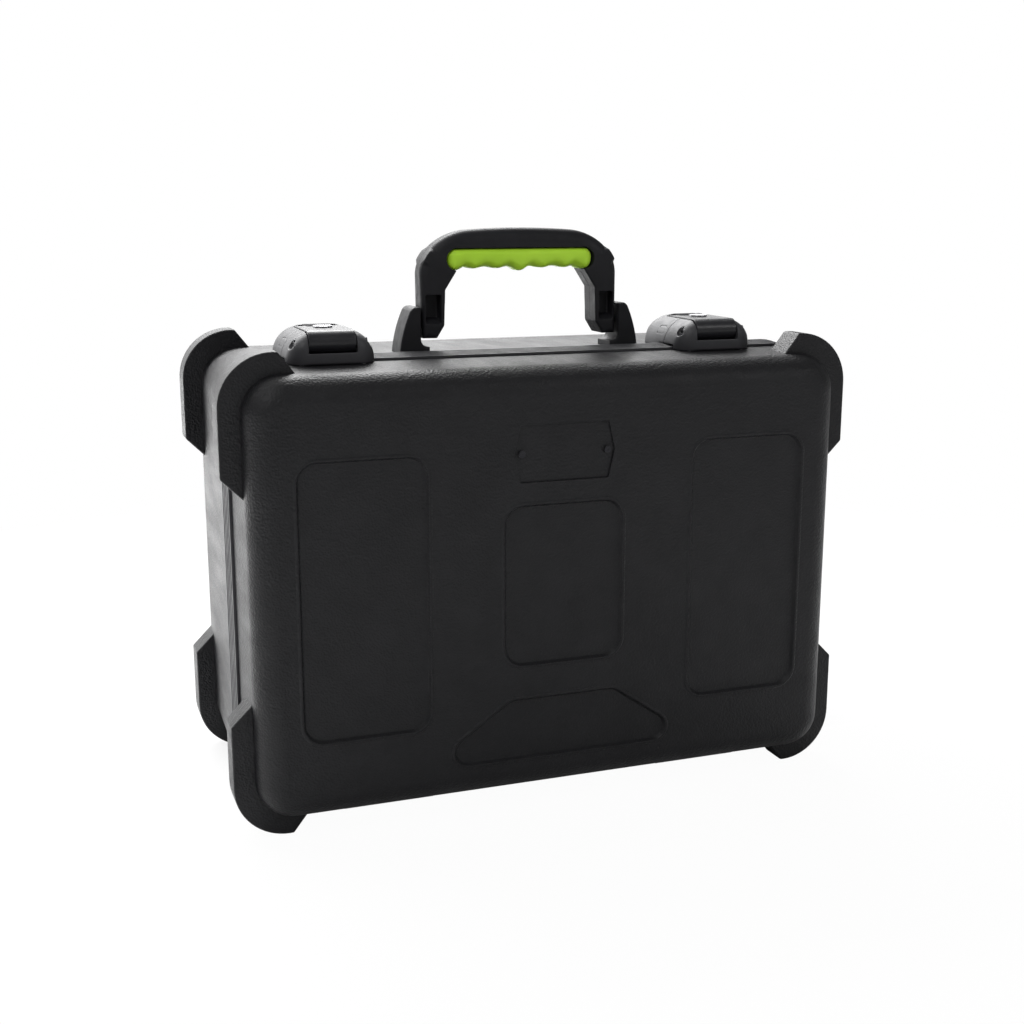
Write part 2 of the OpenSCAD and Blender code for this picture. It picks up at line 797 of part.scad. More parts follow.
// What lies below the base's sloping top wall
module below_base() {
    translate([0, back(base_rim), base_top + seat]) rotate([-atan(base_slope), 0, 0])
        translate([-case_w, -1, -case_h]) cube([2 * case_w, case_d, case_h]);
}

// What lies below the lid's sloping top wall
module below_lid() {
    translate([0, back(lid_rim), lid_top + seat]) rotate([atan(lid_slope), 0, 0])
        translate([-case_w, -lid_d, -case_h]) cube([2 * case_w, lid_d + lid_web, case_h]);
}

module handle_bracket(s) color(black) mirror([s < 0 ? 1 : 0, 0, 0]) difference() {
    across_handle(bracket_t) bracket_outline();
    below_base();
    translate([0, pivot_y, pivot_z]) rotate([0, 90, 0])
        cylinder(r = handle_pin_r + run_fit, h = handle_w / 2 + handle_pin_out);
    for (y = [-1, 1])
        translate([bracket_x, pivot_y + y * bracket_screw_pitch / 2, base_top - hole_start])
            cylinder(r = screw_r + run_fit, h = hole_len);
}

// ---- Latches ----

// The middle of the left (-1) or right (1) latch
function latch_mid(s) = s * latch_x - latch_shift;
latch_top = base_top + latch_h;
lever_axis_z = latch_top - nose_r - 1;
lever_thick = 4.5;
lever_top = latch_top - 1;
lever_tail = 101;
tail_gap = 2.5;
// The recess behind the lever's tail, for a finger
finger_w = 0.6 * lever_w;
finger_reach = 7;
slot_floor = base_top + 5.4;
slot_w = lever_w + 2 * side_fit;
lip_top = slot_floor + 1.1;
lip_t = 2.6;
over_valance = base_top + valance_out + seat;
front_corner = 17;
nose_corner = 14;
tail_corner = 22;

// The hump's outline seen from the side: y runs back from the lid's face, z up
module side_outline() {
    floor_z = lid_top;
    translate([latch_front, floor_z])
        square([latch_rear - latch_front, latch_top - tail_corner - floor_z]);
    translate([latch_front, floor_z])
        square([nose_corner * 2, latch_top - nose_corner - floor_z]);
    translate([latch_front + nose_corner, floor_z])
        square([latch_rear - latch_front - nose_corner - tail_corner, latch_top - floor_z]);
    translate([latch_front + nose_corner, latch_top - nose_corner]) circle(nose_corner);
    translate([latch_rear - tail_corner, latch_top - tail_corner]) circle(tail_corner);
}

// The hump's outline seen from the front
module front_outline() {
    tall = latch_top - lid_top;
    translate([0, lid_top]) {
        translate([-latch_w / 2, 0]) square([latch_w, tall - front_corner]);
        translate([-latch_w / 2 + front_corner, 0]) square([latch_w - 2 * front_corner, tall]);
        for (s = [-1, 1]) translate([s * (latch_w / 2 - front_corner), tall - front_corner])
            circle(front_corner);
    }
}

module along_x(w) {
    translate([-w / 2, back(0), 0]) rotate([90, 0, 90]) linear_extrude(w) children();
}

// The whole hump over one latch, cut to the stretch from d0 to d1
module hump(d0, d1) {
    intersection() {
        along_x(latch_w) intersection() {
            side_outline();
            translate([d0, 0]) square([d1 - d0, 2 * case_h]);
        }
        translate([0, back(latch_rear), 0]) rotate([90, 0, 0])
            linear_extrude(latch_rear - latch_front) front_outline();
        translate([0, back((latch_front + latch_rear) / 2), lid_top])
            linear_extrude(latch_top - lid_top + 1)
                rounded(latch_w, latch_rear - latch_front, front_corner);
    }
}

module block(w, d0, d1, z0, z1) {
    translate([-w / 2, back(d0), z0]) cube([w, d1 - d0, z1 - z0]);
}

module cross_hole(d, z, r, len) {
    translate([-len / 2, back(d), z]) rotate([0, 90, 0]) cylinder(r = r, h = len);
}

module latch_front_housing(s) color(dark_grey) translate([latch_mid(s), 0, 0]) difference() {
    hump(latch_front, latch_split - side_fit / 2);
    below_lid();
    block(2 * latch_w, lid_d - rim_gap, latch_split, 0, over_valance);
    block(slot_w, latch_front + lip_t, latch_split, slot_floor, latch_top + 1);
    block(slot_w, latch_front - 1, latch_split, lip_top, latch_top + 1);
    cross_hole(lever_pivot_set, lever_axis_z, lever_pin_r + run_fit, latch_w + 2);
    for (side = [-1, 1]) translate([side * latch_w / 2, 0, 0])
        cross_hole(lever_pivot_set, lever_axis_z, lever_pin_r + 0.7, latch_w - 2 * lever_pin_half);
    for (x = [-1, 1]) translate([x * front_screw_x, back(front_screw_d), lid_top - hole_start])
        cylinder(r = screw_r + run_fit, h = hole_len);
}

lever_pin_half = 27;

module lever_pin(s) color(zinc) translate([latch_mid(s), 0, 0])
    cross_hole(lever_pivot_set, lever_axis_z, lever_pin_r, 2 * lever_pin_half);

module latch_rear_housing(s) color(dark_grey) translate([latch_mid(s), 0, 0]) difference() {
    hump(latch_split + side_fit / 2, latch_rear);
    block(2 * latch_w, 0, valance_front + valance_w + seat, 0, over_valance);
    below_base();
    block(slot_w, latch_split, lever_tail + tail_gap, slot_floor, latch_top + 1);
    block(finger_w, latch_split, lever_tail + finger_reach, lever_top - lever_thick, latch_top + 1);
    cross_hole(catch_set, catch_z, catch_r + run_fit, 2 * catch_half);
    for (side = [-1, 1]) translate([side * latch_w / 2, 0, 0])
        block(2 * mark_depth, mark_d[0], mark_d[1], mark_z[0], mark_z[1]);
    for (x = [-1, 1]) translate([x * rear_screw_x, back(rear_screw_d), base_top - hole_start])
        cylinder(r = screw_r + run_fit, h = hole_len);
}

// The shallow rectangle in each cheek of the rear housing: depth, width and height of the field
mark_depth = 3;
mark_field = [12, 6];
mark_set = 5;
mark_rise = 9;
mark_d = [latch_split + mark_set, latch_split + mark_set + mark_field[0]];
mark_z = [base_top + mark_rise, base_top + mark_rise + mark_field[1]];
catch_z = slot_floor + catch_r + 0.5;
catch_half = slot_w / 2 + 6;

module catch_bar(s) color(zinc) translate([latch_mid(s), 0, 0])
    cross_hole(catch_set, catch_z, catch_r, 2 * catch_half - 0.4);

// The block that joins the rolled nose to the lever's underside
root_in = 2;
root_len = 14;

module latch_lever(s) color(black) translate([latch_mid(s), 0, 0]) difference() {
    union() {
        cross_hole(lever_pivot_set, lever_axis_z, nose_r, lever_w);
        block(lever_w, lever_pivot_set, lever_tail, lever_top - lever_thick, lever_top);
        block(lever_w - 2 * root_in, lever_pivot_set, lever_pivot_set + root_len,
              lever_axis_z - root_in, lever_top - 1);
    }
    cross_hole(lever_pivot_set, lever_axis_z, lever_pin_r + run_fit, latch_w);
    translate([0, back(lock_set), lever_top - lever_thick - 1]) cylinder(r = lock_r + run_fit, h = 8);
}

claw_t = 2;
claw_w = 24;
claw_top = lever_top - lever_thick - seat / 2;

// A steel claw under the lever; its leg stops just above the catch bar
module latch_claw(s) color(zinc) translate([latch_mid(s), 0, 0]) {
    leg_d = catch_set + catch_r + 0.5;
    block(claw_w, lever_pivot_set + root_len + 1, leg_d + claw_t, claw_top - claw_t, claw_top);
    block(claw_w, leg_d, leg_d + claw_t, catch_z + catch_r + side_fit, claw_top);
}

lock_head = 1.2;
lock_lip = 1.2;
key_slot = [5.5, 1.2, 3];

module lock_cylinder(s) color(zinc)
    translate([latch_mid(s), back(lock_set), 0]) difference() {
        union() {
            translate([0, 0, lever_top - lever_thick + 0.1])
                cylinder(r = lock_r, h = lever_thick + 0.1);
            translate([0, 0, lever_top + 0.1]) cylinder(r = lock_r + lock_lip, h = lock_head);
        }
        translate([0, 0, lever_top + lock_head]) cube(key_slot, center = true);
    }

base_shell();
base_valance();
valance_seal();
floor_pad();
microphone_foam(0);  // microphone_foam_1
microphone_foam(1);  // microphone_foam_2
microphone_foam(2);  // microphone_foam_3
pocket_foam();
base_hinge_leaf(-1);  // base_hinge_leaf_left
base_hinge_leaf(1);  // base_hinge_leaf_right
hinge_pin(-1);  // hinge_pin_left
hinge_pin(1);  // hinge_pin_right
base_hinge_rivets();
handle_bracket(-1);  // handle_bracket_left
handle_bracket(1);  // handle_bracket_right
handle_pin(-1);  // handle_pin_left
handle_pin(1);  // handle_pin_right
bracket_screws();
latch_rear_housing(-1);  // latch_rear_housing_left
latch_rear_housing(1);  // latch_rear_housing_right
catch_bar(-1);  // catch_bar_left
catch_bar(1);  // catch_bar_right
rear_housing_screws();
lid_shell();
lid_valance();
lid_foam();
badge_plate();
badge_screws();
lid_hinge_leaf(-1);  // lid_hinge_leaf_left
lid_hinge_leaf(1);  // lid_hinge_leaf_right
lid_hinge_rivets();
latch_front_housing(-1);  // latch_front_housing_left
latch_front_housing(1);  // latch_front_housing_right
lever_pin(-1);  // lever_pin_left
lever_pin(1);  // lever_pin_right
front_housing_screws();
handle_frame();
handle_grip();
latch_lever(-1);  // latch_lever_left
latch_lever(1);  // latch_lever_right
latch_claw(-1);  // latch_claw_left
latch_claw(1);  // latch_claw_right
lock_cylinder(-1);  // lock_cylinder_left
lock_cylinder(1);  // lock_cylinder_right
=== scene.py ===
"""A moulded microphone case: grained shells, ridged valance, flip latches and a folding handle."""

import json
import math

import bmesh
import bpy
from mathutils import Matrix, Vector


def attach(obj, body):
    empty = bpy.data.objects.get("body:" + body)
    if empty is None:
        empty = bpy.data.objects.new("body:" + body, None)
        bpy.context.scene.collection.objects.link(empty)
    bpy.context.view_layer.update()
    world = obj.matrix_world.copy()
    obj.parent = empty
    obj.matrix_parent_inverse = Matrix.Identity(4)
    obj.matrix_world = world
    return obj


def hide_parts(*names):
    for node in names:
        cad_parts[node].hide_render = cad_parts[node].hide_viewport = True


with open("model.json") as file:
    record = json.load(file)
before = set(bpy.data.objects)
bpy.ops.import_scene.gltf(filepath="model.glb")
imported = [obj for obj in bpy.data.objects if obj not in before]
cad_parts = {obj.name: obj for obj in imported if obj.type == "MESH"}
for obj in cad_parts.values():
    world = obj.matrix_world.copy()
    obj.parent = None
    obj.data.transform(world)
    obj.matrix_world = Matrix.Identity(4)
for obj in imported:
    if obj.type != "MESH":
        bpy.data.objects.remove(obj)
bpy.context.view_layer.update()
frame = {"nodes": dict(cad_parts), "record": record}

MM = 0.001

# ---- Sizes in millimetres; d is the distance behind the lid's face ----
# They are the CAD model's, apart from some of the rounded forms of the latches and the handle

CASE_W, CASE_H, CASE_D = 474.0, 333.0, 246.0
LID_D = 61.5
LID_INSET = 1.5
WALL = 3.5
FACE_T = 5.0
CORNER_R = 30.0
FRONT_ROUND, REAR_ROUND = 20.0, 24.0
LID_TAPER, BASE_TAPER = 2.2, 3.0
BUMPER_OUT = 12.0
BUMPER_T = 24.0
BUMPER_R = 40.0
BUMPER_LEN_X, BUMPER_LEN_Z = 43.0, 87.5
BUMPER_ROOT = 6.0
BUMPER_FRONTS = {"lid": 21.0, "base": CASE_D - 14.0 - BUMPER_T}
LIP = 0.6
PANEL_DEPTH = 2.2
VALANCE_FRONT = LID_D + 0.25
VALANCE_W = 24.0
VALANCE_OUT = 2.2
VALANCE_WEB = 6.3
SEAT = 0.3
LID_RIM = LID_D - 3.0
BASE_RIM = VALANCE_FRONT + VALANCE_WEB + SEAT
MID_Z = CASE_H / 2 + BUMPER_OUT
BASE_TOP = MID_Z + CASE_H / 2
LID_TOP = BASE_TOP - LID_INSET
PIN_PLAY = 0.05

SIDE_PANEL_W, SIDE_PANEL_H, SIDE_PANEL_X = 95.0, 206.0, 152.5
MID_PANEL_W, MID_PANEL_H = 94.5, 123.0
PANEL_R = 15.0
LOW_PANEL_TOP_W, LOW_PANEL_FOOT_W, LOW_PANEL_H = 100.0, 174.0, 47.5
LOW_PANEL_R = 11.0
LOW_PANEL_Z = MID_Z - 111.7
BADGE_Z = MID_Z + 99.8
BADGE_WAIST, BADGE_END, BADGE_RISE = 39.5, 35.0, 21.0
BADGE_R = 1.2
BADGE_SCREW_X, BADGE_HOLE_R = 33.8, 1.6

HINGE_X, HINGE_LEN = 130.0, 70.0
PAD_Z = MID_Z - CASE_H / 2 - VALANCE_OUT - SEAT
PAD_T, PAD_SPARE = 6.5, 3.0
LID_PAD = (32.5, LID_RIM)
BASE_PAD = (86.1, 112.5)

LATCH_MIDS = {"left": -160.5, "right": 148.5}
LATCH_W = 66.0
LATCH_TOP = BASE_TOP + 23.5
LATCH_FRONT, LATCH_SPLIT, LATCH_REAR = 48.0, 77.8, 119.0
LEVER_W = 35.0
LEVER_PIN_HALF = 27.0
NOSE_R = 8.3
LEVER_D = 58.0
LEVER_Z = LATCH_TOP - NOSE_R - 1
LEVER_BORE_R = 2.5 + PIN_PLAY
LEVER_TOP = LATCH_TOP - 1
LEVER_TAIL = 101.0
LEVER_T = 4.5
SLOT_W = LEVER_W + 0.8
SLOT_FLOOR = BASE_TOP + 5.4
LOCK_D, LOCK_HOLE_R = 83.0, 6.1
CATCH_D, CATCH_Z, CATCH_HALF, CATCH_R = 91.0, SLOT_FLOOR + 2.5, 25.0, 2.0
HUMP_SIDE, HUMP_NOSE, HUMP_TAIL = 24.0, 14.0, 13.0
# Radii of a hump's corners seen from above, at its foot and at its top
PLAN_FRONT_R, PLAN_REAR_R = (17.0, 7.0), (9.0, 6.0)
# How far the cutters of a latch reach: across it, down, up, and back
ACROSS, DOWN, UP, BACK = 60.0, 300.0, LATCH_TOP + 9, 140.0

HANDLE_W, HANDLE_T = 161.0, 24.0
HANDLE_D = 105.0
PIVOT_Z = BASE_TOP + 21.5
PIVOT_BORE_R = 3.0 + PIN_PLAY
HANDLE_TOP = PIVOT_Z + 72
HANDLE_BOTTOM = PIVOT_Z - 11
LEG_W = 18.5
LEG_IN = HANDLE_W / 2 - LEG_W
BRACE = 9.5
HANDLE_RX, HANDLE_RZ = 40.0, 29.0
HANDLE_ARCH_R = 600.0
GRIP_LEN, GRIP_H, GRIP_T = 121.5, 16.6, 26.0
GRIP_TOP = HANDLE_TOP - 15.2
BUMP_PITCH = (GRIP_LEN - GRIP_H) / 5.6
BRACKET_IN = HANDLE_W / 2 + 1.6
BRACKET_OUT = BRACKET_IN + 17.0
BRACKET_T = 26.0
BRACKET_HIGH = PIVOT_Z + 13


def at(x, d, z):
    """A point of the case in metres: x across, d behind the lid's face, z up."""
    return Vector((x, d - CASE_D / 2, z)) * MM


# ---- Camera, floor and light ----

CAMERA_AT = (-0.38035, -1.05745, 0.45406)
CAMERA_AZIMUTH, CAMERA_ELEVATION = -19.909, 12.367
FOCAL_PX, FRAME_PX, SENSOR = 1390.99, 1024, 36.0


def add_camera():
    data = bpy.data.cameras.new("camera")
    data.sensor_width = SENSOR
    data.lens = FOCAL_PX / FRAME_PX * SENSOR
    camera = bpy.data.objects.new("camera", data)
    camera.location = CAMERA_AT
    camera.rotation_euler = (math.radians(90 - CAMERA_ELEVATION), 0, math.radians(CAMERA_AZIMUTH))
    bpy.context.collection.objects.link(camera)
    bpy.context.scene.camera = camera


def add_area(name, where, target, size, power):
    """A rectangular lamp that faces a point."""
    data = bpy.data.lights.new(name, "AREA")
    data.shape = "RECTANGLE"
    data.size, data.size_y = size
    data.energy = power
    lamp = bpy.data.objects.new(name, data)
    lamp.location = where
    aim = Vector(target) - Vector(where)
    lamp.rotation_euler = aim.to_track_quat("-Z", "Y").to_euler()
    bpy.context.collection.objects.link(lamp)


def add_node(tree, kind, **values):
    """A new node with its sockets and settings; an underscore in a name stands for a space."""
    node = tree.nodes.new("ShaderNode" + kind)
    for key, value in values.items():
        socket = key.replace("_", " ")
        if socket in node.inputs:
            node.inputs[socket].default_value = value
        else:
            setattr(node, key, value)
    return node


def add_lights():
    middle = (0, 0, 0.25)
    add_area("key", (-1.4, -1.6, 2.2), middle, (1.4, 1.4), 20)
    add_area("right", (1.5, -2.0, 1.5), middle, (0.7, 0.7), 8)
    add_area("overhead", (-0.2, 0.7, 2.1), middle, (2.4, 1.2), 16)
    add_area("back_wall", (-0.4, 2.8, 0.95), middle, (5.0, 1.9), 48)
    add_area("behind", (-0.7, 1.6, 1.7), (-0.7, 1.6, 0), (3.0, 1.4), 160)


def add_world():
    """A white background that the camera sees in full and that lights the case a little."""
    lit, seen = 0.2, 1.0
    world = bpy.data.worlds.new("studio")
    world.use_nodes = True
    tree = world.node_tree
    background = tree.nodes["Background"]
    background.inputs["Color"].default_value = (1, 1, 1, 1)
    path = add_node(tree, "LightPath")
    strength = add_node(tree, "MapRange", To_Min=lit, To_Max=seen)
    tree.links.new(path.outputs["Is Camera Ray"], strength.inputs["Value"])
    tree.links.new(strength.outputs["Result"], background.inputs["Strength"])
    bpy.context.scene.world = world


def add_floor():
    """A white square just below the feet."""
    half, below = 6.0, 0.0005
    mesh = bpy.data.meshes.new("floor")
    corners = [(-half, -half, 0), (half, -half, 0), (half, half, 0), (-half, half, 0)]
    mesh.from_pydata(corners, [], [(0, 1, 2, 3)])
    floor = bpy.data.objects.new("floor", mesh)
    floor.location.z = -below
    bpy.context.collection.objects.link(floor)
    mesh.materials.append(floor_white())


def floor_white():
    """White whose far parts look as white as the background.

    In front of the case it is mostly clear to the camera and to the lamps, so that the lid
    still shows where it hangs open below the level of the feet.
    """
    near, far, near_glow, white = 0.45, 1.1, 0.84, 0.86
    clear_from, clear_to, clear_share = 0.02, -0.05, 0.8
    mat = bpy.data.materials.new("floor_white")
    mat.use_nodes = True
    tree = mat.node_tree
    tree.nodes.clear()
    link = tree.links.new
    out = add_node(tree, "OutputMaterial")
    path = add_node(tree, "LightPath").outputs
    coords = add_node(tree, "TexCoord").outputs["Object"]

    # Diffuse, and glowing for the camera with a strength that grows with the distance
    diffuse = add_node(tree, "BsdfDiffuse", Color=(white, white, white, 1))
    glow = add_node(tree, "Emission")
    length = add_node(tree, "VectorMath", operation="LENGTH")
    spread = add_node(tree, "MapRange", From_Min=near, From_Max=far, To_Min=near_glow)
    both = add_node(tree, "Math", operation="MULTIPLY")
    mix = add_node(tree, "MixShader")
    link(coords, length.inputs[0])
    link(length.outputs["Value"], spread.inputs["Value"])
    link(spread.outputs["Result"], both.inputs[0])
    link(path["Is Camera Ray"], both.inputs[1])
    link(both.outputs["Value"], mix.inputs["Fac"])
    link(diffuse.outputs["BSDF"], mix.inputs[1])
    link(glow.outputs["Emission"], mix.inputs[2])

    # Clear in front of the case, for camera rays and shadow rays
    clear = add_node(tree, "BsdfTransparent")
    place = add_node(tree, "SeparateXYZ")
    front = add_node(tree, "MapRange", From_Min=clear_from, From_Max=clear_to, To_Max=clear_share)
    rays = add_node(tree, "Math", operation="MAXIMUM")
    share = add_node(tree, "Math", operation="MULTIPLY")
    glass = add_node(tree, "MixShader")
    link(coords, place.inputs[0])
    link(place.outputs["Y"], front.inputs["Value"])
    link(path["Is Camera Ray"], rays.inputs[0])
    link(path["Is Shadow Ray"], rays.inputs[1])
    link(front.outputs["Result"], share.inputs[0])
    link(rays.outputs["Value"], share.inputs[1])
    link(share.outputs["Value"], glass.inputs["Fac"])
    link(mix.outputs["Shader"], glass.inputs[1])
    link(clear.outputs["BSDF"], glass.inputs[2])
    link(glass.outputs["Shader"], out.inputs["Surface"])
    return mat


# ---- Materials ----


class Nodes:
    """A node material with a Principled shader, and short calls to add to it."""

    def __init__(self, name):
        self.mat = bpy.data.materials.new(name)
        self.mat.use_nodes = True
        self.tree = self.mat.node_tree
        self.shader = self.tree.nodes["Principled BSDF"]
        self.coords = self.add("TexCoord").outputs["Object"]

    def add(self, kind, **values):
        return add_node(self.tree, kind, **values)

    def link(self, source, target):
        self.tree.links.new(source, target)

    def noise(self, scale, detail=3.0, stretch=None):
        node = self.add("TexNoise", Scale=scale, Detail=detail)
        self.link(self.place(stretch), node.inputs["Vector"])
        return node.outputs["Fac"]

    def cells(self, scale, feature="SMOOTH_F1"):
        node = self.add("TexVoronoi", Scale=scale, feature=feature)
        if feature == "SMOOTH_F1":
            node.inputs["Smoothness"].default_value = 0.6
        self.link(self.coords, node.inputs["Vector"])
        return node.outputs["Distance"]

    def place(self, stretch):
        if stretch is None:
            return self.coords
        node = self.add("Mapping", Scale=stretch)
        self.link(self.coords, node.inputs["Vector"])
        return node.outputs["Vector"]

    def spread(self, value, low, high, start=0.3, stop=0.7):
        node = self.add("MapRange", From_Min=start, From_Max=stop, To_Min=low, To_Max=high)
        self.link(value, node.inputs["Value"])
        return node.outputs["Result"]

    def math(self, operation, a, b):
        node = self.add("Math", operation=operation)
        for socket, value in zip(node.inputs, (a, b)):
            if isinstance(value, (int, float)):
                socket.default_value = value
            else:
                self.link(value, socket)
        return node.outputs["Value"]

    def colour(self, fac, first, second):
        node = self.add("Mix", data_type="RGBA")
        sockets = {s.identifier: s for s in (*node.inputs, *node.outputs)}
        sockets["A_Color"].default_value = (*first, 1)
        sockets["B_Color"].default_value = (*second, 1)
        self.link(fac, sockets["Factor_Float"])
        self.link(sockets["Result_Color"], self.shader.inputs["Base Color"])

    def rough(self, value):
        self.link(value, self.shader.inputs["Roughness"])

    def bump(self, height, depth, strength=1.0):
        node = self.add("Bump", Strength=strength, Distance=depth)
        self.link(height, node.inputs["Height"])
        self.link(node.outputs["Normal"], self.shader.inputs["Normal"])

    def fixed(self, **values):
        for key, value in values.items():
            self.shader.inputs[key.replace("_", " ")].default_value = value


def grained_plastic(name, dark, light, rough):
    """Moulded black plastic with a fine leather grain and faint scuffs."""
    pebble, depth = 620.0, 0.00034
    m = Nodes(name)
    m.fixed(Specular_IOR_Level=0.3)
    m.colour(m.spread(m.noise(26, 5), 0, 1, 0.35, 0.75), dark, light)
    scuffs = m.noise(60, 6, stretch=(1, 0.25, 1))
    m.rough(m.spread(scuffs, rough - 0.05, rough + 0.06))
    creases = m.cells(pebble)
    folds = m.noise(pebble * 0.55, 2)
    m.bump(m.math("ADD", creases, m.math("MULTIPLY", folds, 0.8)), depth)
    return m.mat


def smooth_plastic(name, dark, light, rough, specular=0.5, coat=0.0):
    """Satin plastic with a very fine texture and uneven gloss."""
    m = Nodes(name)
    m.fixed(Specular_IOR_Level=specular, Coat_Weight=coat, Coat_Roughness=0.12)
    m.colour(m.spread(m.noise(45, 4), 0, 1), dark, light)
    m.rough(m.spread(m.noise(120, 5), rough - 0.06, rough + 0.07))
    m.bump(m.noise(4200, 2), 0.00002)
    return m.mat


def plated_steel(name, colour, rough):
    """Plated steel with a fine grain along X and dull patches."""
    m = Nodes(name)
    m.fixed(Metallic=1.0)
    m.colour(m.spread(m.noise(90, 4), 0, 1), colour, tuple(c * 0.78 for c in colour))
    lines = m.noise(2500, 2, stretch=(0.04, 1, 1))
    m.rough(m.spread(lines, rough - 0.08, rough + 0.12))
    m.bump(lines, 0.000012)
    return m.mat


def soft_rubber(name, dark, light, rough):
    """Soft rubber with a faint sheen."""
    m = Nodes(name)
    m.fixed(Specular_IOR_Level=0.4, Sheen_Weight=0.08, Sheen_Roughness=0.4)
    m.colour(m.spread(m.noise(30, 4), 0, 1), dark, light)
    m.rough(m.spread(m.noise(200, 4), rough - 0.05, rough + 0.06))
    m.bump(m.noise(3000, 3), 0.00003)
    return m.mat


def open_foam(name, dark, light):
    """Grey foam with fine open cells."""
    m = Nodes(name)
    m.fixed(Specular_IOR_Level=0.1, Sheen_Weight=0.25, Sheen_Roughness=0.6)
    pores = m.cells(1300, "F1")
    m.colour(m.spread(pores, 0, 1, 0.1, 0.55), dark, light)
    m.rough(m.spread(m.noise(80, 3), 0.88, 0.98))
    m.bump(m.math("ADD", pores, m.math("MULTIPLY", m.noise(120, 4), 2.0)), 0.0005, 0.9)
    return m.mat


def make_materials():
    """The finish of each slot."""
    return {
        "shell": grained_plastic("shell_grain", (0.0065, 0.0065, 0.0078), (0.0095, 0.0095, 0.011),
                                 0.47),
        "valance": smooth_plastic("valance_satin", (0.030, 0.030, 0.034), (0.040, 0.040, 0.044),
                                  0.5),
        "seal": soft_rubber("seal_rubber", (0.01, 0.01, 0.01), (0.016, 0.016, 0.016), 0.7),
        "foam": open_foam("foam_grey", (0.020, 0.020, 0.022), (0.060, 0.060, 0.064)),
        "badge": smooth_plastic("badge_satin", (0.008, 0.008, 0.009), (0.011, 0.011, 0.012), 0.42),
        "black_screw": plated_steel("screw_black", (0.05, 0.05, 0.055), 0.4),
        "handle": smooth_plastic("handle_satin", (0.008, 0.008, 0.0098), (0.012, 0.012, 0.0145),
                                 0.52, specular=0.24),
        "grip": soft_rubber("grip_lime", (0.44, 0.76, 0.032), (0.50, 0.83, 0.044), 0.5),
        "hinge_steel": plated_steel("hinge_plating", (0.60, 0.60, 0.62), 0.34),
        "zinc": plated_steel("zinc_plating", (0.66, 0.66, 0.68), 0.3),
        "latch": smooth_plastic("latch_satin", (0.030, 0.030, 0.034), (0.040, 0.040, 0.045), 0.5),
        "lever": smooth_plastic("lever_gloss", (0.009, 0.009, 0.012), (0.013, 0.013, 0.016), 0.42,
                                coat=0.08),
    }


# ---- Mesh building ----

ARC = 10


def arc_loop(corners, radius, grow=0.0, arc=ARC):
    """The outline round circles at the corners, taken anticlockwise, grown by a distance."""
    points = []
    count = len(corners)
    for i, (cx, cz) in enumerate(corners):
        before, after = corners[i - 1], corners[(i + 1) % count]
        start = math.atan2(-(cx - before[0]), cz - before[1])
        stop = math.atan2(-(after[0] - cx), after[1] - cz)
        turn = (stop - start) % (2 * math.pi)
        for k in range(arc + 1):
            a = start + turn * k / arc
            points.append((cx + (radius + grow) * math.cos(a), cz + (radius + grow) * math.sin(a)))
    return points


def rect_corners(w, h, r, cx, cz):
    """The centres of a rectangle's rounded corners, anticlockwise."""
    return [(cx + sx * (w / 2 - r), cz + sz * (h / 2 - r))
            for sx, sz in ((1, 1), (-1, 1), (-1, -1), (1, -1))]


def circle(cx, cz, r, count):
    """Points round a circle, anticlockwise."""
    turns = [2 * math.pi * i / count for i in range(count)]
    return [(cx + r * math.cos(a), cz + r * math.sin(a)) for a in turns]


def facing_ring(points, d):
    """A ring parallel to the lid's face, at d behind it."""
    return [at(x, d, z) for x, z in points]


def link_mesh(name, bm):
    """An object in the scene from a bmesh, which is freed."""
    bmesh.ops.recalc_face_normals(bm, faces=bm.faces)
    mesh = bpy.data.meshes.new(name)
    bm.to_mesh(mesh)
    bm.free()
    obj = bpy.data.objects.new(name, mesh)
    bpy.context.collection.objects.link(obj)
    return obj


def loft(name, rings, closed=False):
    """A closed solid through the rings; its ends are capped, or the last ring meets the first."""
    bm = bmesh.new()
    rows = [[bm.verts.new(p) for p in ring] for ring in rings]
    pairs = list(zip(rows, rows[1:])) + ([(rows[-1], rows[0])] if closed else [])
    for a, b in pairs:
        for i in range(len(a)):
            bm.faces.new((a[i - 1], a[i], b[i], b[i - 1]))
    if not closed:
        bm.faces.new(rows[0])
        bm.faces.new(rows[-1])
    return link_mesh(name, bm)


def prism(name, side, x0, x1):
    """A solid along X from x0 to x1 whose section is the outline of points (d, z)."""
    return loft(name, [[at(x, d, z) for d, z in side] for x in (x0, x1)])


def box_tool(x0, x1, d0, d1, z0, z1, bevel=0.0):
    """A box between two corners, in millimetres."""
    corners = [(x0, z0), (x1, z0), (x1, z1), (x0, z1)]
    tool = loft("tool", [facing_ring(corners, d0), facing_ring(corners, d1)])
    if bevel:
        add_bevel(tool, bevel, 3)
    return tool


def bar_tool(x0, x1, d, z, r):
    """A round bar along X."""
    return prism("tool", circle(d, z, r, 48), x0, x1)


def apply_modifiers(obj):
    graph = bpy.context.evaluated_depsgraph_get()
    mesh = bpy.data.meshes.new_from_object(obj.evaluated_get(graph))
    obj.modifiers.clear()
    obj.data = mesh


def add_bevel(obj, width, segments=3, angle=30, profile=0.5):
    mod = obj.modifiers.new("bevel", "BEVEL")
    mod.width = width * MM
    mod.segments = segments
    mod.limit_method = "ANGLE"
    mod.angle_limit = math.radians(angle)
    mod.profile = profile
    apply_modifiers(obj)


def boolean(obj, operation, *tools):
    """Joins the tools to a piece or cuts them from it, and removes them."""
    for tool in tools:
        mod = obj.modifiers.new("boolean", "BOOLEAN")
        mod.operation = operation
        mod.solver = "EXACT"
        mod.object = tool
    apply_modifiers(obj)
    for tool in tools:
        bpy.data.objects.remove(tool)


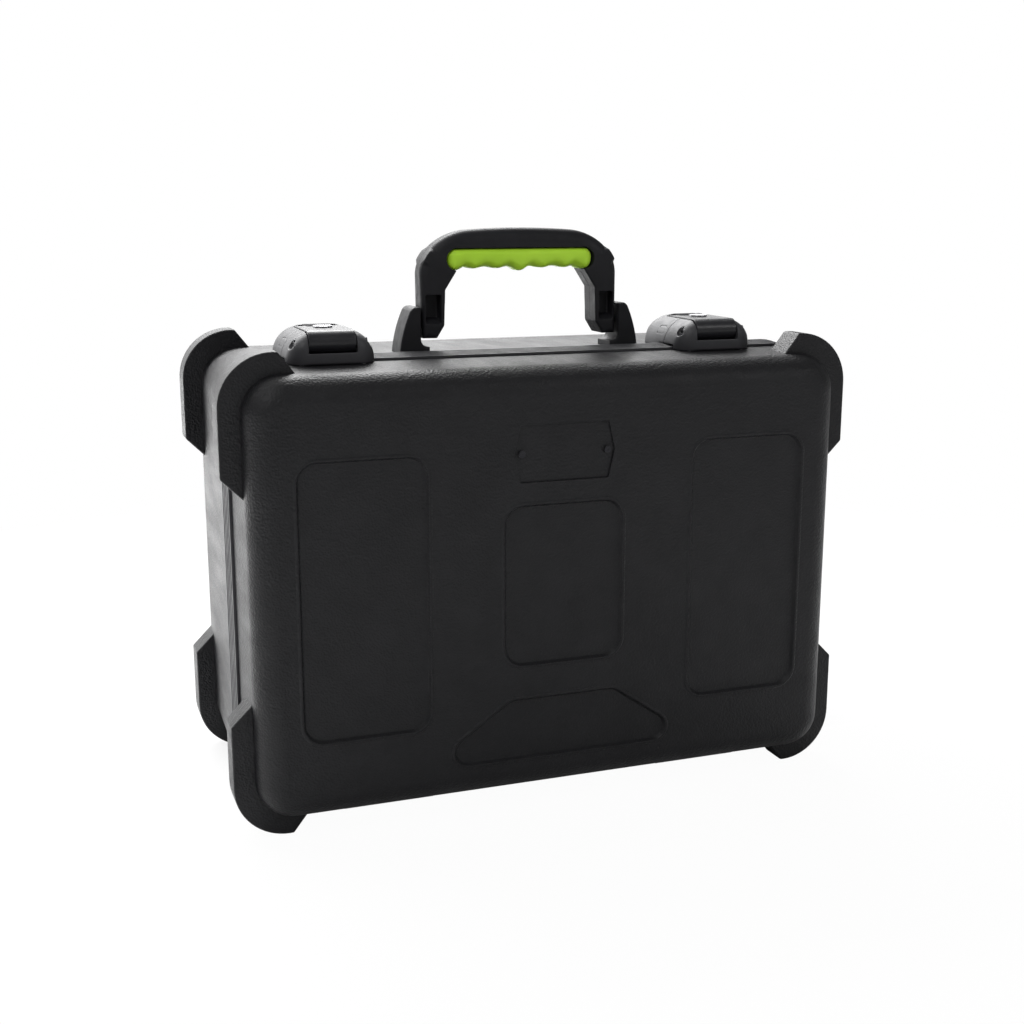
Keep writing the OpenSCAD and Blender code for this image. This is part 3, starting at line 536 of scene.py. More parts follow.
def soften(obj, voxel, rounds, keep=0.35):
    """Remeshes a moulded form so that all its edges take a small round."""
    mod = obj.modifiers.new("remesh", "REMESH")
    mod.mode = "VOXEL"
    mod.voxel_size = voxel * MM
    mod = obj.modifiers.new("smooth", "LAPLACIANSMOOTH")
    mod.iterations = rounds
    mod.lambda_factor = 0.6
    mod.use_volume_preserve = True
    mod = obj.modifiers.new("decimate", "DECIMATE")
    mod.ratio = keep
    apply_modifiers(obj)


def shade(obj, angle):
    """Smooth shading with sharp edges past an angle, weighted by the faces' size."""
    bm = bmesh.new()
    bm.from_mesh(obj.data)
    bmesh.ops.remove_doubles(bm, verts=bm.verts, dist=1e-7)
    limit = math.radians(angle)
    for face in bm.faces:
        face.smooth = True
    for edge in bm.edges:
        edge.smooth = edge.calc_face_angle(0.0) < limit
    bm.to_mesh(obj.data)
    bm.free()
    mod = obj.modifiers.new("weighted", "WEIGHTED_NORMAL")
    mod.keep_sharp = True


def mirrored(obj, name):
    """A copy of a piece on the other side of the case."""
    bm = bmesh.new()
    bm.from_mesh(obj.data)
    for vert in bm.verts:
        vert.co.x = -vert.co.x
    bmesh.ops.reverse_faces(bm, faces=bm.faces)
    return link_mesh(name, bm)


def dress(obj, body, slot, node, angle=32):
    """Shades a finished piece, gives it its finish, hangs it on the body it rides on, and hides the
    CAD node that it stands for.
    """
    shade(obj, angle)
    obj.data.materials.clear()
    obj.data.materials.append(MATERIALS[slot])
    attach(obj, body)
    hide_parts(node)


# ---- Shells ----

FILLET = 10


def shell_side(w, h, r, rim, face, taper, edge, shrink, outside):
    """Rings of one side of a shell's wall, from the middle of its face to its rim."""
    into = 1 if rim > face else -1
    w, h, r, edge = w - 2 * shrink, h - 2 * shrink, r - shrink, edge - shrink
    rings = []
    for i in range(FILLET + 1):
        a = math.pi / 2 * i / FILLET
        drawn = edge * (1 - math.sin(a))
        in_by = taper + drawn
        corners = rect_corners(w - 2 * in_by, h - 2 * in_by, r - drawn, 0, MID_Z)
        deep = edge * (1 - math.cos(a))
        rings.append(facing_ring(arc_loop(corners, r - drawn), face + into * deep))
    # The rim's edge is broken, 0.5 along the wall and 0.7 of that across it
    soft = 0.5
    side = soft if outside else -soft
    corners = rect_corners(w, h, r, 0, MID_Z)
    rings.append(facing_ring(arc_loop(corners, r, -taper * 0.01), rim - into * soft))
    rings.append(facing_ring(arc_loop(corners, r, -side * 0.7), rim))
    return rings


def shell_solid(name, w, h, r, rim, face, taper, edge):
    """A shell open at its rim, with walls of an even thickness and a thicker face."""
    into = 1 if rim > face else -1
    face_t = FACE_T - (LIP if into > 0 else 0)
    outer = shell_side(w, h, r, rim, face, taper, edge, 0, True)
    inner = shell_side(w, h, r, rim, face + into * face_t, taper, edge, WALL, False)
    return loft(name, outer + inner[::-1])


def bumper(d, sx, sz):
    """An L-shaped corner bumper; its ends are cut at about 45 degrees."""
    half_w, half_h = CASE_W / 2 + BUMPER_OUT, CASE_H / 2 + BUMPER_OUT
    root_w, root_h = CASE_W / 2 - BUMPER_ROOT, CASE_H / 2 - BUMPER_ROOT
    root_r = CORNER_R - BUMPER_ROOT
    low = half_w - BUMPER_LEN_X - half_h
    high = half_w - half_h + BUMPER_LEN_Z
    arc, steeper = 16, 4
    outline = [(low + half_h, half_h)]
    for i in range(arc + 1):
        a = math.pi / 2 * (1 - i / arc)
        outline.append((half_w - BUMPER_R * (1 - math.cos(a)),
                        half_h - BUMPER_R * (1 - math.sin(a))))
    outline += [(half_w, half_w - high), (root_w, root_w - high)]
    for i in range(arc + 1):
        a = math.pi / 2 * i / arc
        outline.append((root_w - root_r * (1 - math.cos(a)), root_h - root_r * (1 - math.sin(a))))
    outline.append((low + root_h + steeper, root_h))
    outline = [(sx * x, MID_Z + sz * z) for x, z in outline]
    piece = loft("bumper", [facing_ring(outline, d), facing_ring(outline, d + BUMPER_T)])
    add_bevel(piece, 1.6, 3, profile=0.6)
    return piece


def bumpers(d):
    return [bumper(d, sx, sz) for sx in (-1, 1) for sz in (-1, 1)]


# Each outline is the centres of its rounded corners and their radius
LOW_PANEL_RISE = LOW_PANEL_H / 2 - LOW_PANEL_R
SIDE_PANELS = [(rect_corners(SIDE_PANEL_W, SIDE_PANEL_H, PANEL_R, s * SIDE_PANEL_X, MID_Z), PANEL_R)
               for s in (-1, 1)]
MID_PANEL = (rect_corners(MID_PANEL_W, MID_PANEL_H, PANEL_R, 0, MID_Z), PANEL_R)
LOW_PANEL = ([(LOW_PANEL_TOP_W / 2 - LOW_PANEL_R, LOW_PANEL_Z + LOW_PANEL_RISE),
              (-LOW_PANEL_TOP_W / 2 + LOW_PANEL_R, LOW_PANEL_Z + LOW_PANEL_RISE),
              (-LOW_PANEL_FOOT_W / 2 + LOW_PANEL_R, LOW_PANEL_Z - LOW_PANEL_RISE),
              (LOW_PANEL_FOOT_W / 2 - LOW_PANEL_R, LOW_PANEL_Z - LOW_PANEL_RISE)], LOW_PANEL_R)
BADGE_UP = BADGE_RISE - BADGE_R
BADGE = ([(sx * (half - BADGE_R), BADGE_Z + up) for sx, half, up in (
    (1, BADGE_WAIST, 0), (1, BADGE_END, BADGE_UP), (-1, BADGE_END, BADGE_UP), (-1, BADGE_WAIST, 0),
    (-1, BADGE_END, -BADGE_UP), (1, BADGE_END, -BADGE_UP))], BADGE_R)


def profile_rings(panel, profile, face=0.0, into=1):
    """Rings round a panel's outline; each point of the profile is (growth, depth)."""
    corners, r = panel
    return [facing_ring(arc_loop(corners, r, grow), face + into * deep) for grow, deep in profile]


# Sections of the panels' edges on the lid and on the back, of the raised lip round a panel, and
# of the badge's seat
RECESS = [(0.3, -3.0), (0.3, 0.3), (-0.2, 0.75), (-1.0, 2.1), (-1.5, 2.6),
          (-2.4, LIP + PANEL_DEPTH)]
BACK_RECESS = [(0.6, -3.0), (0.6, -0.05), (0.1, 0.3), (-0.8, 1.7), (-1.3, 2.05),
               (-2.2, PANEL_DEPTH)]
LIP_RING = [(2.7, 1.0), (2.6, 0.62), (2.2, 0.28), (1.5, 0.06), (0.9, 0.0), (0.3, 0.12), (-0.3, 0.6),
            (-0.3, 1.0)]
BADGE_RECESS = [(0.6, -3.0), (0.6, 0.55), (0.3, 0.85), (0.3, LIP + 1.5)]


def make_lid_shell():
    lid = shell_solid("lid_moulding", CASE_W - 2 * LID_INSET, CASE_H - 2 * LID_INSET,
                      CORNER_R - LID_INSET, LID_RIM, LIP, LID_TAPER, FRONT_ROUND)
    panels = SIDE_PANELS + [MID_PANEL, LOW_PANEL]
    rims = [loft("tool", profile_rings(panel, LIP_RING), closed=True) for panel in panels]
    boolean(lid, "UNION", *rims, *bumpers(BUMPER_FRONTS["lid"]), *hinge_pads(*LID_PAD))
    holes = [loft("tool", profile_rings(panel, RECESS)) for panel in panels]
    holes.append(loft("tool", profile_rings(BADGE, BADGE_RECESS)))
    boolean(lid, "DIFFERENCE", *holes)
    dress(lid, "lid", "shell", "lid_shell")


def make_base_shell():
    base = shell_solid("base_moulding", CASE_W, CASE_H, CORNER_R, BASE_RIM, CASE_D, BASE_TAPER,
                       REAR_ROUND)
    boolean(base, "UNION", *bumpers(BUMPER_FRONTS["base"]), *hinge_pads(*BASE_PAD))
    holes = [loft("tool", profile_rings(panel, BACK_RECESS, CASE_D, -1))
             for panel in SIDE_PANELS + [MID_PANEL]]
    boolean(base, "DIFFERENCE", *holes)
    dress(base, "base", "shell", "base_shell")


def hinge_pads(d0, d1):
    """The raised strips under a shell that its hinge leaves lie on."""
    half = HINGE_LEN / 2 + PAD_SPARE
    return [box_tool(s * HINGE_X - half, s * HINGE_X + half, d0, d1, PAD_Z, PAD_Z + PAD_T)
            for s in (-1, 1)]


# ---- Rim ----


def rim_rings(profile):
    """Rings that follow the shells' outline; each point of the profile is (growth, d)."""
    corners = rect_corners(CASE_W, CASE_H, CORNER_R, 0, MID_Z)
    return [facing_ring(arc_loop(corners, CORNER_R, grow), d) for grow, d in profile]


BAND_T = 1.6
RIDGES = 5
# Section of one ridge: its share of the pitch, and how far it stays below the crest
RIDGE = ((0.0, 0.45), (0.06, 0.12), (0.14, 0.0), (0.6, 0.0), (0.7, 0.12), (0.76, 0.5), (0.98, 0.5))


def make_base_valance():
    """The band over the base's rim, with ridges along it and the seal groove in its front."""
    pitch = VALANCE_W / RIDGES
    lowest, skirt, front_drop = 0.8, 8.0, 0.35
    groove_in, groove_out, groove_floor = -4.2, -1.2, VALANCE_FRONT + 3.2
    inner = -WALL - BAND_T - SEAT
    profile = [(inner, VALANCE_FRONT + 0.3), (inner + 0.3, VALANCE_FRONT),
               (groove_in, VALANCE_FRONT), (groove_in, groove_floor),
               (groove_out, groove_floor), (groove_out, VALANCE_FRONT)]
    for i in range(RIDGES):
        rise = lowest + (VALANCE_OUT - lowest) * i / (RIDGES - 1)
        start = VALANCE_FRONT + i * pitch
        for share, drop in RIDGE:
            if i or share:
                profile.append((rise - drop, start + share * pitch))
            else:
                profile.append((rise - front_drop, start))
    rear = VALANCE_FRONT + VALANCE_W
    profile += [(VALANCE_OUT - 0.8, rear), (SEAT, rear), (SEAT, BASE_RIM - SEAT),
                (-WALL - SEAT, BASE_RIM - SEAT), (-WALL - SEAT, BASE_RIM + skirt),
                (inner, BASE_RIM + skirt)]
    band = loft("rim_band", rim_rings(profile), closed=True)
    dress(band, "base", "valance", "base_valance", angle=40)


def make_lid_valance():
    """The frame in the lid's rim, with the tongue that enters the seal groove."""
    front, rear = LID_RIM + SEAT, LID_D - 0.25
    tongue_end, skirt = rear + 1.6, 3.0
    inner = -LID_INSET - WALL - BAND_T - SEAT
    flange = -LID_INSET - WALL - SEAT
    profile = [(inner, rear - 0.3), (inner + 0.3, rear), (-3.4, rear), (-3.2, tongue_end),
               (-2.2, tongue_end), (-2.0, rear), (-LID_INSET - 0.3, rear), (-LID_INSET, rear - 0.3),
               (-LID_INSET, front + 0.2), (-LID_INSET - 0.2, front), (flange, front),
               (flange, front - skirt), (inner, front - skirt)]
    band = loft("lid_band", rim_rings(profile), closed=True)
    dress(band, "lid", "valance", "lid_valance", angle=40)


# ---- Badge ----


def make_badge():
    """A blank plate with a rounded edge and a faint raised border."""
    back, front = LIP + 1.2, LIP - 0.1
    profile = [(0.0, back), (0.0, front + 0.35), (-0.12, front + 0.1), (-0.4, front), (-1.2, front),
               (-1.5, front + 0.12), (-1.7, front + 0.35)]
    plate = loft("badge_blank", profile_rings(BADGE, profile))
    holes = [circle(s * BADGE_SCREW_X, BADGE_Z, BADGE_HOLE_R, 32) for s in (-1, 1)]
    boolean(plate, "DIFFERENCE",
            *[loft("tool", [facing_ring(hole, d) for d in (-2, 6)]) for hole in holes])
    dress(plate, "lid", "badge", "badge_plate")


# ---- Latches ----


def drawn_in(z, r):
    """How far a rounded edge of radius r has come in at height z of a latch."""
    up = max(0.0, z - (LATCH_TOP - r))
    return r - math.sqrt(max(0.0, r * r - up * up))


def plan_outline(half, d0, d1, front_r, rear_r, arc=12):
    """A rectangle seen from above whose front and rear corners have radii of their own."""
    points = []
    corners = ((1, d1, rear_r), (-1, d1, rear_r), (-1, d0, front_r), (1, d0, front_r))
    for quarter, (sx, d, r) in enumerate(corners):
        middle_d = d - r if quarter < 2 else d + r
        for k in range(arc + 1):
            a = math.pi / 2 * (quarter + k / arc)
            points.append((sx * (half - r) + r * math.cos(a), middle_d + r * math.sin(a)))
    return points


def hump():
    """The latch's rounded hump, as a stack of rounded rectangles."""
    low, steps = LID_TOP - 4, 18
    heights = [low, LATCH_TOP - HUMP_SIDE]
    heights += [LATCH_TOP - HUMP_SIDE + HUMP_SIDE * math.sin(math.pi / 2 * i / steps)
                for i in range(1, steps + 1)]
    rings = []
    for z in heights:
        half = LATCH_W / 2 - drawn_in(z, HUMP_SIDE)
        d0, d1 = LATCH_FRONT + drawn_in(z, HUMP_NOSE), LATCH_REAR - drawn_in(z, HUMP_TAIL)
        share = (z - low) / (LATCH_TOP - low)
        radii = [foot + (top - foot) * share for foot, top in (PLAN_FRONT_R, PLAN_REAR_R)]
        outline = plan_outline(half, d0, d1, *radii)
        rings.append([at(x, d, z) for x, d in outline])
    return loft("hump", rings)


def slab_below(top, slope, rim_d, d0, d1, x0=-ACROSS, x1=ACROSS):
    """What lies below a sloping wall; the slope is its fall per millimetre away from its rim."""
    deep = 60
    side = [(d0, top - slope * abs(rim_d - d0)), (d1, top - slope * abs(rim_d - d1)),
            (d1, top - deep), (d0, top - deep)]
    return prism("tool", side, x0, x1)


def toe_undercut():
    """The shadow gap under the front housing's lower edge."""
    before, deep, gap = 40, 4, 0.7
    side = [(before, LID_TOP - deep), (before, LID_TOP + 1.2), (LATCH_FRONT, LID_TOP + 0.9),
            (LATCH_FRONT + gap, LID_TOP + 0.2), (LATCH_FRONT + gap, LID_TOP - deep)]
    return prism("tool", side, -ACROSS, ACROSS)


LID_SLOPE = LID_TAPER / (LID_RIM - LIP - FRONT_ROUND)
BASE_SLOPE = BASE_TAPER / (CASE_D - REAR_ROUND - BASE_RIM)
OVER_VALANCE = BASE_TOP + VALANCE_OUT + SEAT


def make_front_housing():
    """The two cheeks on the lid, with the slot for the lever and the lip before it."""
    slot, slot_edge = SLOT_W / 2, 0.8
    lip_t, lip_rise = 2.6, 1.1
    sink_by, sink_r = 0.9, 3.9
    part = hump()
    boolean(
        part, "DIFFERENCE",
        box_tool(-ACROSS, ACROSS, LATCH_SPLIT - 0.2, BACK, DOWN, 400),
        slab_below(LID_TOP + SEAT, LID_SLOPE, LID_RIM, 20, LID_RIM),
        toe_undercut(),
        box_tool(-ACROSS, ACROSS, LID_RIM - 0.1, LID_D - 0.4, DOWN, LID_TOP + SEAT),
        box_tool(-ACROSS, ACROSS, LID_D - 0.5, BACK, DOWN, OVER_VALANCE),
        box_tool(-slot, slot, LATCH_FRONT + lip_t, BACK, SLOT_FLOOR, UP, slot_edge),
        box_tool(-slot, slot, 30, BACK, SLOT_FLOOR + lip_rise, UP, slot_edge),
        bar_tool(-ACROSS, ACROSS, LEVER_D, LEVER_Z, LEVER_BORE_R),
        *[bar_tool(*ends, LEVER_D - sink_by, LEVER_Z - sink_by, sink_r)
          for ends in ((LEVER_PIN_HALF, ACROSS), (-ACROSS, -LEVER_PIN_HALF))])
    soften(part, 0.55, 2)
    return part


def finger_scoop():
    """The hollow behind the lever's tail, which slopes up to the housing's top."""
    before, behind, floor = 60, LEVER_TAIL + 9, LEVER_TOP - LEVER_T
    side = [(before, floor), (LEVER_TAIL + 2.6, floor), (LEVER_TAIL + 4.5, LEVER_TOP - 1.6),
            (behind, LATCH_TOP + 0.6), (behind, UP), (before, UP)]
    half = 0.3 * LEVER_W
    return prism("tool", side, -half, half)


def make_rear_housing():
    """The keeper on the base, with the rest of the lever's slot."""
    slot, slot_edge = SLOT_W / 2, 0.8
    part = hump()
    boolean(
        part, "DIFFERENCE",
        box_tool(-ACROSS, ACROSS, 20, LATCH_SPLIT + 0.2, DOWN, 400),
        box_tool(-ACROSS, ACROSS, 60, VALANCE_FRONT + VALANCE_W + SEAT, DOWN, OVER_VALANCE),
        slab_below(BASE_TOP + SEAT, BASE_SLOPE, BASE_RIM, BASE_RIM, BACK),
        box_tool(-slot, slot, 60, LEVER_TAIL + 2.5, SLOT_FLOOR, UP, slot_edge),
        finger_scoop(),
        bar_tool(-CATCH_HALF, CATCH_HALF, CATCH_D, CATCH_Z, CATCH_R))
    # A shallow rectangular groove round a field in each cheek
    middle, groove_deep = (LATCH_SPLIT + 11, BASE_TOP + 12), 0.9
    fields = [arc_loop(rect_corners(w, h, r, *middle), r, arc=5)
              for w, h, r in ((12, 6.5, 1.5), (10.2, 4.7, 0.8))]
    for s in (-1, 1):
        tools = [loft("tool", [[at(s * (LATCH_W / 2 - drawn_in(z, HUMP_SIDE) + proud), d, z)
                                for d, z in field] for proud in (-groove_deep, 3)])
                 for field in fields]
        boolean(tools[0], "DIFFERENCE", tools[1])
        boolean(part, "DIFFERENCE", tools[0])
    soften(part, 0.5, 2)
    return part


def make_lever():
    """The lever's rolled nose runs smoothly into its flat top."""
    nose_steps, nose_turn = 32, 300
    outline = []
    for i in range(nose_steps + 1):
        a = math.radians(90 + nose_turn * i / nose_steps)
        outline.append((LEVER_D + NOSE_R * math.cos(a), LEVER_Z + NOSE_R * math.sin(a)))
    outline += [(LEVER_D + 14, LEVER_Z + 0.5), (LEVER_D + 17, LEVER_TOP - LEVER_T),
                (LEVER_TAIL - 4, LEVER_TOP - LEVER_T), (LEVER_TAIL, LEVER_TOP - 2.6),
                (LEVER_TAIL - 0.8, LEVER_TOP - 0.3), (LEVER_TAIL - 3, LEVER_TOP)]
    lever = prism("lever", outline, -LEVER_W / 2, LEVER_W / 2)
    add_bevel(lever, 0.7, 3, angle=50)
    dish_w, dish_h, dish_r, dish_d = 18, 5, 2, 95.5
    dish_corners = rect_corners(dish_w, dish_h, dish_r, 0, dish_d)
    dish = loft("tool", [[at(x, d, LEVER_TOP + z) for x, d in arc_loop(dish_corners, dish_r, grow)]
                         for grow, z in ((0, -0.9), (0.9, -0.3), (1.3, 0.6))])
    hole = loft("tool", [[at(x, d, z) for x, d in circle(0, LOCK_D, LOCK_HOLE_R, 48)]
                         for z in (LEVER_TOP - 9, LEVER_TOP + 3)])
    bore = bar_tool(-ACROSS, ACROSS, LEVER_D, LEVER_Z, LEVER_BORE_R)
    boolean(lever, "DIFFERENCE", dish, hole, bore)
    return lever


def shifted(obj, name, x):
    """A copy of a piece moved along X."""
    copy = bpy.data.objects.new(name, obj.data.copy())
    for vert in copy.data.vertices:
        vert.co.x += x * MM
    bpy.context.collection.objects.link(copy)
    return copy


def make_latches():
    """Each latch's three pieces, made once in the middle and placed at both sides."""
    makers = (("front_cheeks", make_front_housing, "lid", "latch", "latch_front_housing_"),
              ("rear_keeper", make_rear_housing, "base", "latch", "latch_rear_housing_"),
              ("flip_lever", make_lever, "lever_", "lever", "latch_lever_"))
    for name, maker, body, slot, node in makers:
        model = maker()
        for side, x in LATCH_MIDS.items():
            piece = shifted(model, name + "_" + side, x)
            rides = body + side if body.endswith("_") else body
            dress(piece, rides, slot, node + side, angle=50 if slot == "latch" else 32)
        bpy.data.objects.remove(model)


# ---- Handle ----


def handle_outline():
    """The handle from the front, anticlockwise, with its arched top and the gap for the hand."""
    foot, shoulder = HANDLE_W / 2 - 0.4, HANDLE_W / 2 + 0.9
    leg_taper, foot_cut = 1, 7
    arc, flats = 18, 16

    def arch(x):
        return HANDLE_TOP - HANDLE_ARCH_R + math.sqrt(HANDLE_ARCH_R ** 2 - x * x)

    corner = []
    for i in range(arc):
        a = math.pi / 2 * i / arc
        x = shoulder - HANDLE_RX * (1 - math.cos(a))
        corner.append((x, arch(x) - HANDLE_RZ * (1 - math.sin(a))))
    inner = shoulder - HANDLE_RX
    flat_xs = [inner * (1 - 2 * i / flats) for i in range(flats + 1)]
    middle = [(x, arch(x)) for x in flat_xs]
    gap = [(LEG_IN + foot_cut, HANDLE_BOTTOM), (LEG_IN + leg_taper, PIVOT_Z - 1.5),
           (LEG_IN, PIVOT_Z + 25.5), (LEG_IN - BRACE, GRIP_TOP - GRIP_H)]
    return ([(foot, HANDLE_BOTTOM)] + corner + middle + [(-x, z) for x, z in corner[::-1]]
            + [(-foot, HANDLE_BOTTOM)] + [(-x, z) for x, z in gap] + gap[::-1])


def inset(points, by):
    """An anticlockwise outline drawn in by a distance, or by one for each of its points."""
    moved = []
    count = len(points)
    drawn = by if isinstance(by, list) else [by] * count
    for i, (x, z) in enumerate(points):
        (x0, z0), (x1, z1) = points[i - 1], points[(i + 1) % count]
        a = Vector((z - z0, x0 - x)).normalized()
        b = Vector((z1 - z, x - x1)).normalized()
        out = (a + b) / max(0.2, 1 + a.dot(b))
        moved.append((x - drawn[i] * out.x, z - drawn[i] * out.y))
    return moved


def rounded_slab(name, outline, thick, edges, steps, deep=1.0):
    """A plate in the handle's plane; edges holds the width of its rounded edge at each point.

    deep is the depth of that edge as a share of its width.
    """
    rings = []
    for end in (-1, 1):
        side = []
        for k in range(steps + 1):
            a = math.pi / 2 * k / steps
            points = inset(outline, [edge * (1 - math.sin(a)) for edge in edges])
            side.append([at(x, HANDLE_D + end * (thick / 2 - edge * deep * (1 - math.cos(a))), z)
                         for (x, z), edge in zip(points, edges)])
        rings += side if end < 0 else side[::-1]
    return loft(name, rings)


def leg_pocket(sx, sy):
    """The pocket in one face of a handle leg, with a sloping ledge at its bottom."""
    middle, half = sx * (LEG_IN + LEG_W / 2 + 0.5), 6
    face = HANDLE_D + sy * HANDLE_T / 2
    deep, high = -10.6, 22
    side = [(1, -0.6), (-0.8, 0.2), (-5, 3.2), (deep, 4.4), (deep, high), (1, high)]
    return prism("tool", [(face + sy * d, PIVOT_Z + z) for d, z in side], middle - half,
                 middle + half)


def make_handle():
    """The stiff bow: its outer edge widens from the legs to the top, its inner edge is narrow."""
    inner_edge, leg_edge, wider = 2.0, 5.0, 4.5
    widens_at, widens_over = PIVOT_Z + 15, 25
    outline = handle_outline()
    edges = []
    for x, z in outline:
        up = min(1.0, max(0.0, (z - widens_at) / widens_over))
        inside = abs(x) < HANDLE_W / 2 - 1.5 and z < GRIP_TOP
        edges.append(inner_edge if inside else leg_edge + wider * up)
    bow = rounded_slab("handle_bow", outline, HANDLE_T, edges, steps=8, deep=0.75)
    r, play = GRIP_H / 2, 0.15
    d0, d1 = HANDLE_D - 20, HANDLE_D + 20
    slot = arc_loop(rect_corners(GRIP_LEN, GRIP_H, r - 0.01, 0, GRIP_TOP - r), r - 0.01, play)
    tools = [loft("tool", [facing_ring(slot, d0), facing_ring(slot, d1)]),
             box_tool(-LEG_IN + BRACE, LEG_IN - BRACE, d0, d1, GRIP_TOP - GRIP_H - 2, GRIP_TOP - r)]
    for sx in (-1, 1):
        tools += [leg_pocket(sx, -1), leg_pocket(sx, 1)]
        tools.append(bar_tool(sx * 67.5, sx * 90, HANDLE_D, PIVOT_Z, PIVOT_BORE_R))
    boolean(bow, "DIFFERENCE", *tools)
    soften(bow, 0.6, 3, 0.4)
    # The parting line of the mould runs round the bow's sides
    parting = [(0.45, 0.0), (-0.8, -0.5), (-0.8, 0.5)]
    boolean(bow, "DIFFERENCE", loft("tool", [facing_ring(inset(outline, by), HANDLE_D + d)
                                             for by, d in parting], closed=True))
    dress(bow, "handle", "handle", "handle_frame", angle=50)


def make_grip():
    """The soft grip: round ends, a straight top and five finger bumps, the middle one deepest."""
    rings = []
    r, half_len, count, around = GRIP_H / 2, GRIP_LEN / 2, 160, 44
    belly_h, middle_bump, other_bump, deepest = 6.1, 3.3, 1.3, 9.8
    pinch_low, pinch_wave = 1.6, 4.4
    for i in range(count + 1):
        x = -half_len * math.cos(math.pi * i / count)
        from_end = abs(x) - (half_len - r)
        lobe = math.sqrt(max(0.0, r * r - from_end ** 2))
        draw = lobe / r if from_end > 0 else 1.0
        wave = 0.5 + 0.5 * math.cos(2 * math.pi * x / BUMP_PITCH)
        deep = middle_bump if abs(x) < BUMP_PITCH / 2 else other_bump
        belly = (belly_h + deep * wave) * draw
        below = (lobe ** 6 + belly ** 6) ** (1 / 6) if from_end > -r else belly
        top, bottom = GRIP_TOP - r + r * draw, GRIP_TOP - r - min(below, deepest)
        half_y = GRIP_T / 2 * (0.55 + 0.45 * draw) * max(draw, 0.02) ** 0.3
        ring = []
        for k in range(around):
            a = 2 * math.pi * k / around
            c, s = math.cos(a), math.sin(a)
            low = max(0.0, -s)
            pinched = half_y - (pinch_low + pinch_wave * (1 - wave)) * low * draw
            y = pinched * math.copysign(abs(c) ** 0.5, c)
            z = (top + bottom) / 2 + (top - bottom) / 2 * math.copysign(abs(s) ** 0.55, s)
            ring.append(at(x, HANDLE_D + y, z))
        rings.append(ring)
    grip = loft("soft_grip", rings)
    dress(grip, "handle", "grip", "handle_grip", angle=60)


def make_brackets():
    """Horn-shaped posts beside the handle's legs, each with a low toe."""
    curve_r, drop, foot = 100.0, 10.0, BASE_TOP - 3
    toe_t, toe_len, fillet, edge = 3.8, 7, 6.0, 1.4
    centre = (BRACKET_OUT - math.sqrt(curve_r ** 2 - drop ** 2), BASE_TOP - drop)
    low_a, top_a = [math.asin((z - centre[1]) / curve_r) for z in (foot, BRACKET_HIGH - 2.5)]
    toe_z = BASE_TOP + SEAT + toe_t
    outline = [(BRACKET_IN - toe_len, foot)]
    for i in range(17):
        a = low_a + (top_a - low_a) * i / 16
        outline.append((centre[0] + curve_r * math.cos(a), centre[1] + curve_r * math.sin(a)))
    last = outline[-1][0]
    outline += [(last - 1.6, BRACKET_HIGH - 0.8), (last - 3.4, BRACKET_HIGH),
                (BRACKET_IN + 1, BRACKET_HIGH), (BRACKET_IN, BRACKET_HIGH - 1)]
    outline += [(BRACKET_IN - fillet + fillet * math.cos(a), toe_z + fillet + fillet * math.sin(a))
                for a in [-math.pi / 2 * i / 6 for i in range(7)]]
    outline.append((BRACKET_IN - toe_len, toe_z))
    post = rounded_slab("post", outline, BRACKET_T, [edge] * len(outline), steps=4)
    boolean(post, "DIFFERENCE",
            slab_below(BASE_TOP + SEAT, BASE_SLOPE, BASE_RIM, BASE_RIM, BACK, 60, 120),
            bar_tool(60, HANDLE_W / 2 + 9, HANDLE_D, PIVOT_Z, PIVOT_BORE_R))
    soften(post, 0.5, 3, 0.4)
    left = mirrored(post, "bracket_post_left")
    post.name = "bracket_post_right"
    dress(post, "base", "handle", "handle_bracket_right", angle=60)
    dress(left, "base", "handle", "handle_bracket_left", angle=60)


# ---- Hardware and foam: the CAD forms with their edges rounded ----


def body_of(node):
    """The moving body that a CAD node belongs to."""
    for body, nodes in frame["record"]["behaviour"]["bodies"].items():
        if node in nodes:
            return body
    raise KeyError(node)


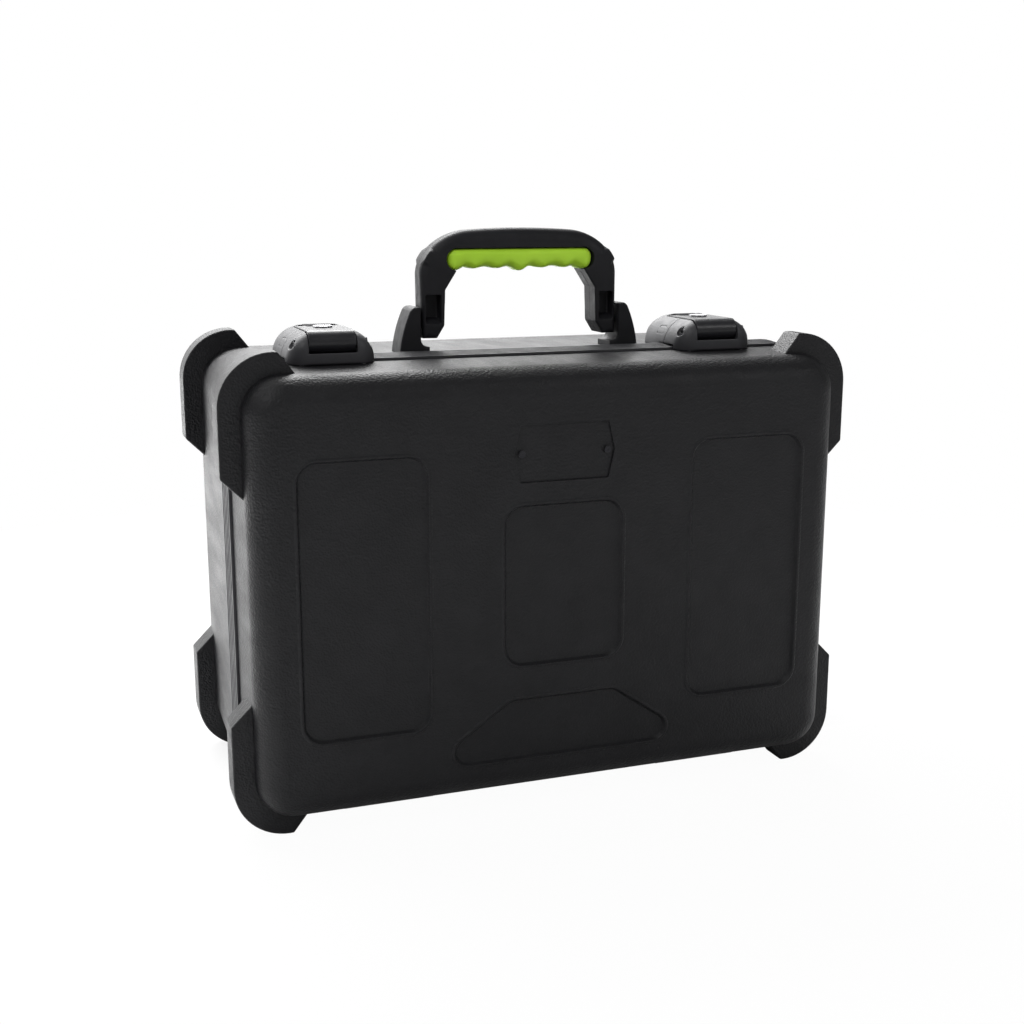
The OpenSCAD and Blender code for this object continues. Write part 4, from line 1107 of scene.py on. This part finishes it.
def rounded_copy(node, name, slot, width, segments=2):
    """A copy of a CAD node whose sharp edges take a small bevel."""
    source = frame["nodes"][node]
    bm = bmesh.new()
    bm.from_mesh(source.data)
    bmesh.ops.remove_doubles(bm, verts=bm.verts, dist=1e-6)
    bmesh.ops.dissolve_limit(bm, angle_limit=math.radians(1), verts=bm.verts, edges=bm.edges)
    piece = link_mesh(name, bm)
    add_bevel(piece, width, segments, 35)
    dress(piece, body_of(node), slot, node, angle=40)
    return piece


def make_hardware():
    paired = (("base_hinge_leaf_", "hinge_leaf_base_", "hinge_steel", 0.25),
              ("lid_hinge_leaf_", "hinge_leaf_lid_", "hinge_steel", 0.25),
              ("hinge_pin_", "hinge_rod_", "hinge_steel", 0.3),
              ("latch_claw_", "steel_claw_", "zinc", 0.3),
              ("lock_cylinder_", "lock_plug_", "zinc", 0.2),
              ("catch_bar_", "keeper_bar_", "zinc", 0.3),
              ("lever_pin_", "lever_rod_", "black_screw", 0.4),
              ("handle_pin_", "handle_rod_", "zinc", 0.5))
    for side in ("left", "right"):
        for node, name, slot, width in paired:
            rounded_copy(node + side, name + side, slot, width)
    for node in ("base_hinge_rivets", "lid_hinge_rivets"):
        rounded_copy(node, node + "_domed", "zinc", 0.6, segments=3)
    for node in ("bracket_screws", "rear_housing_screws", "front_housing_screws"):
        rounded_copy(node, node + "_turned", "zinc", 0.3)
    rounded_copy("badge_screws", "badge_screws_turned", "black_screw", 0.12)
    rounded_copy("valance_seal", "rim_seal", "seal", 0.4)


def make_foam():
    for node, name, width in (("floor_pad", "foam_floor", 1.5), ("lid_foam", "foam_lid", 2.0),
                              ("microphone_foam_1", "foam_block_1", 2.0),
                              ("microphone_foam_2", "foam_block_2", 2.0),
                              ("microphone_foam_3", "foam_block_3", 2.0),
                              ("pocket_foam", "foam_block_4", 2.0)):
        piece = rounded_copy(node, name, "foam", width, segments=3)


MATERIALS = make_materials()
add_camera()
add_floor()
add_lights()
add_world()
make_lid_shell()
make_base_shell()
make_base_valance()
make_lid_valance()
make_badge()
make_latches()
make_handle()
make_grip()
make_brackets()
make_hardware()
make_foam()

view = bpy.context.scene.view_settings
view.view_transform = "Standard"
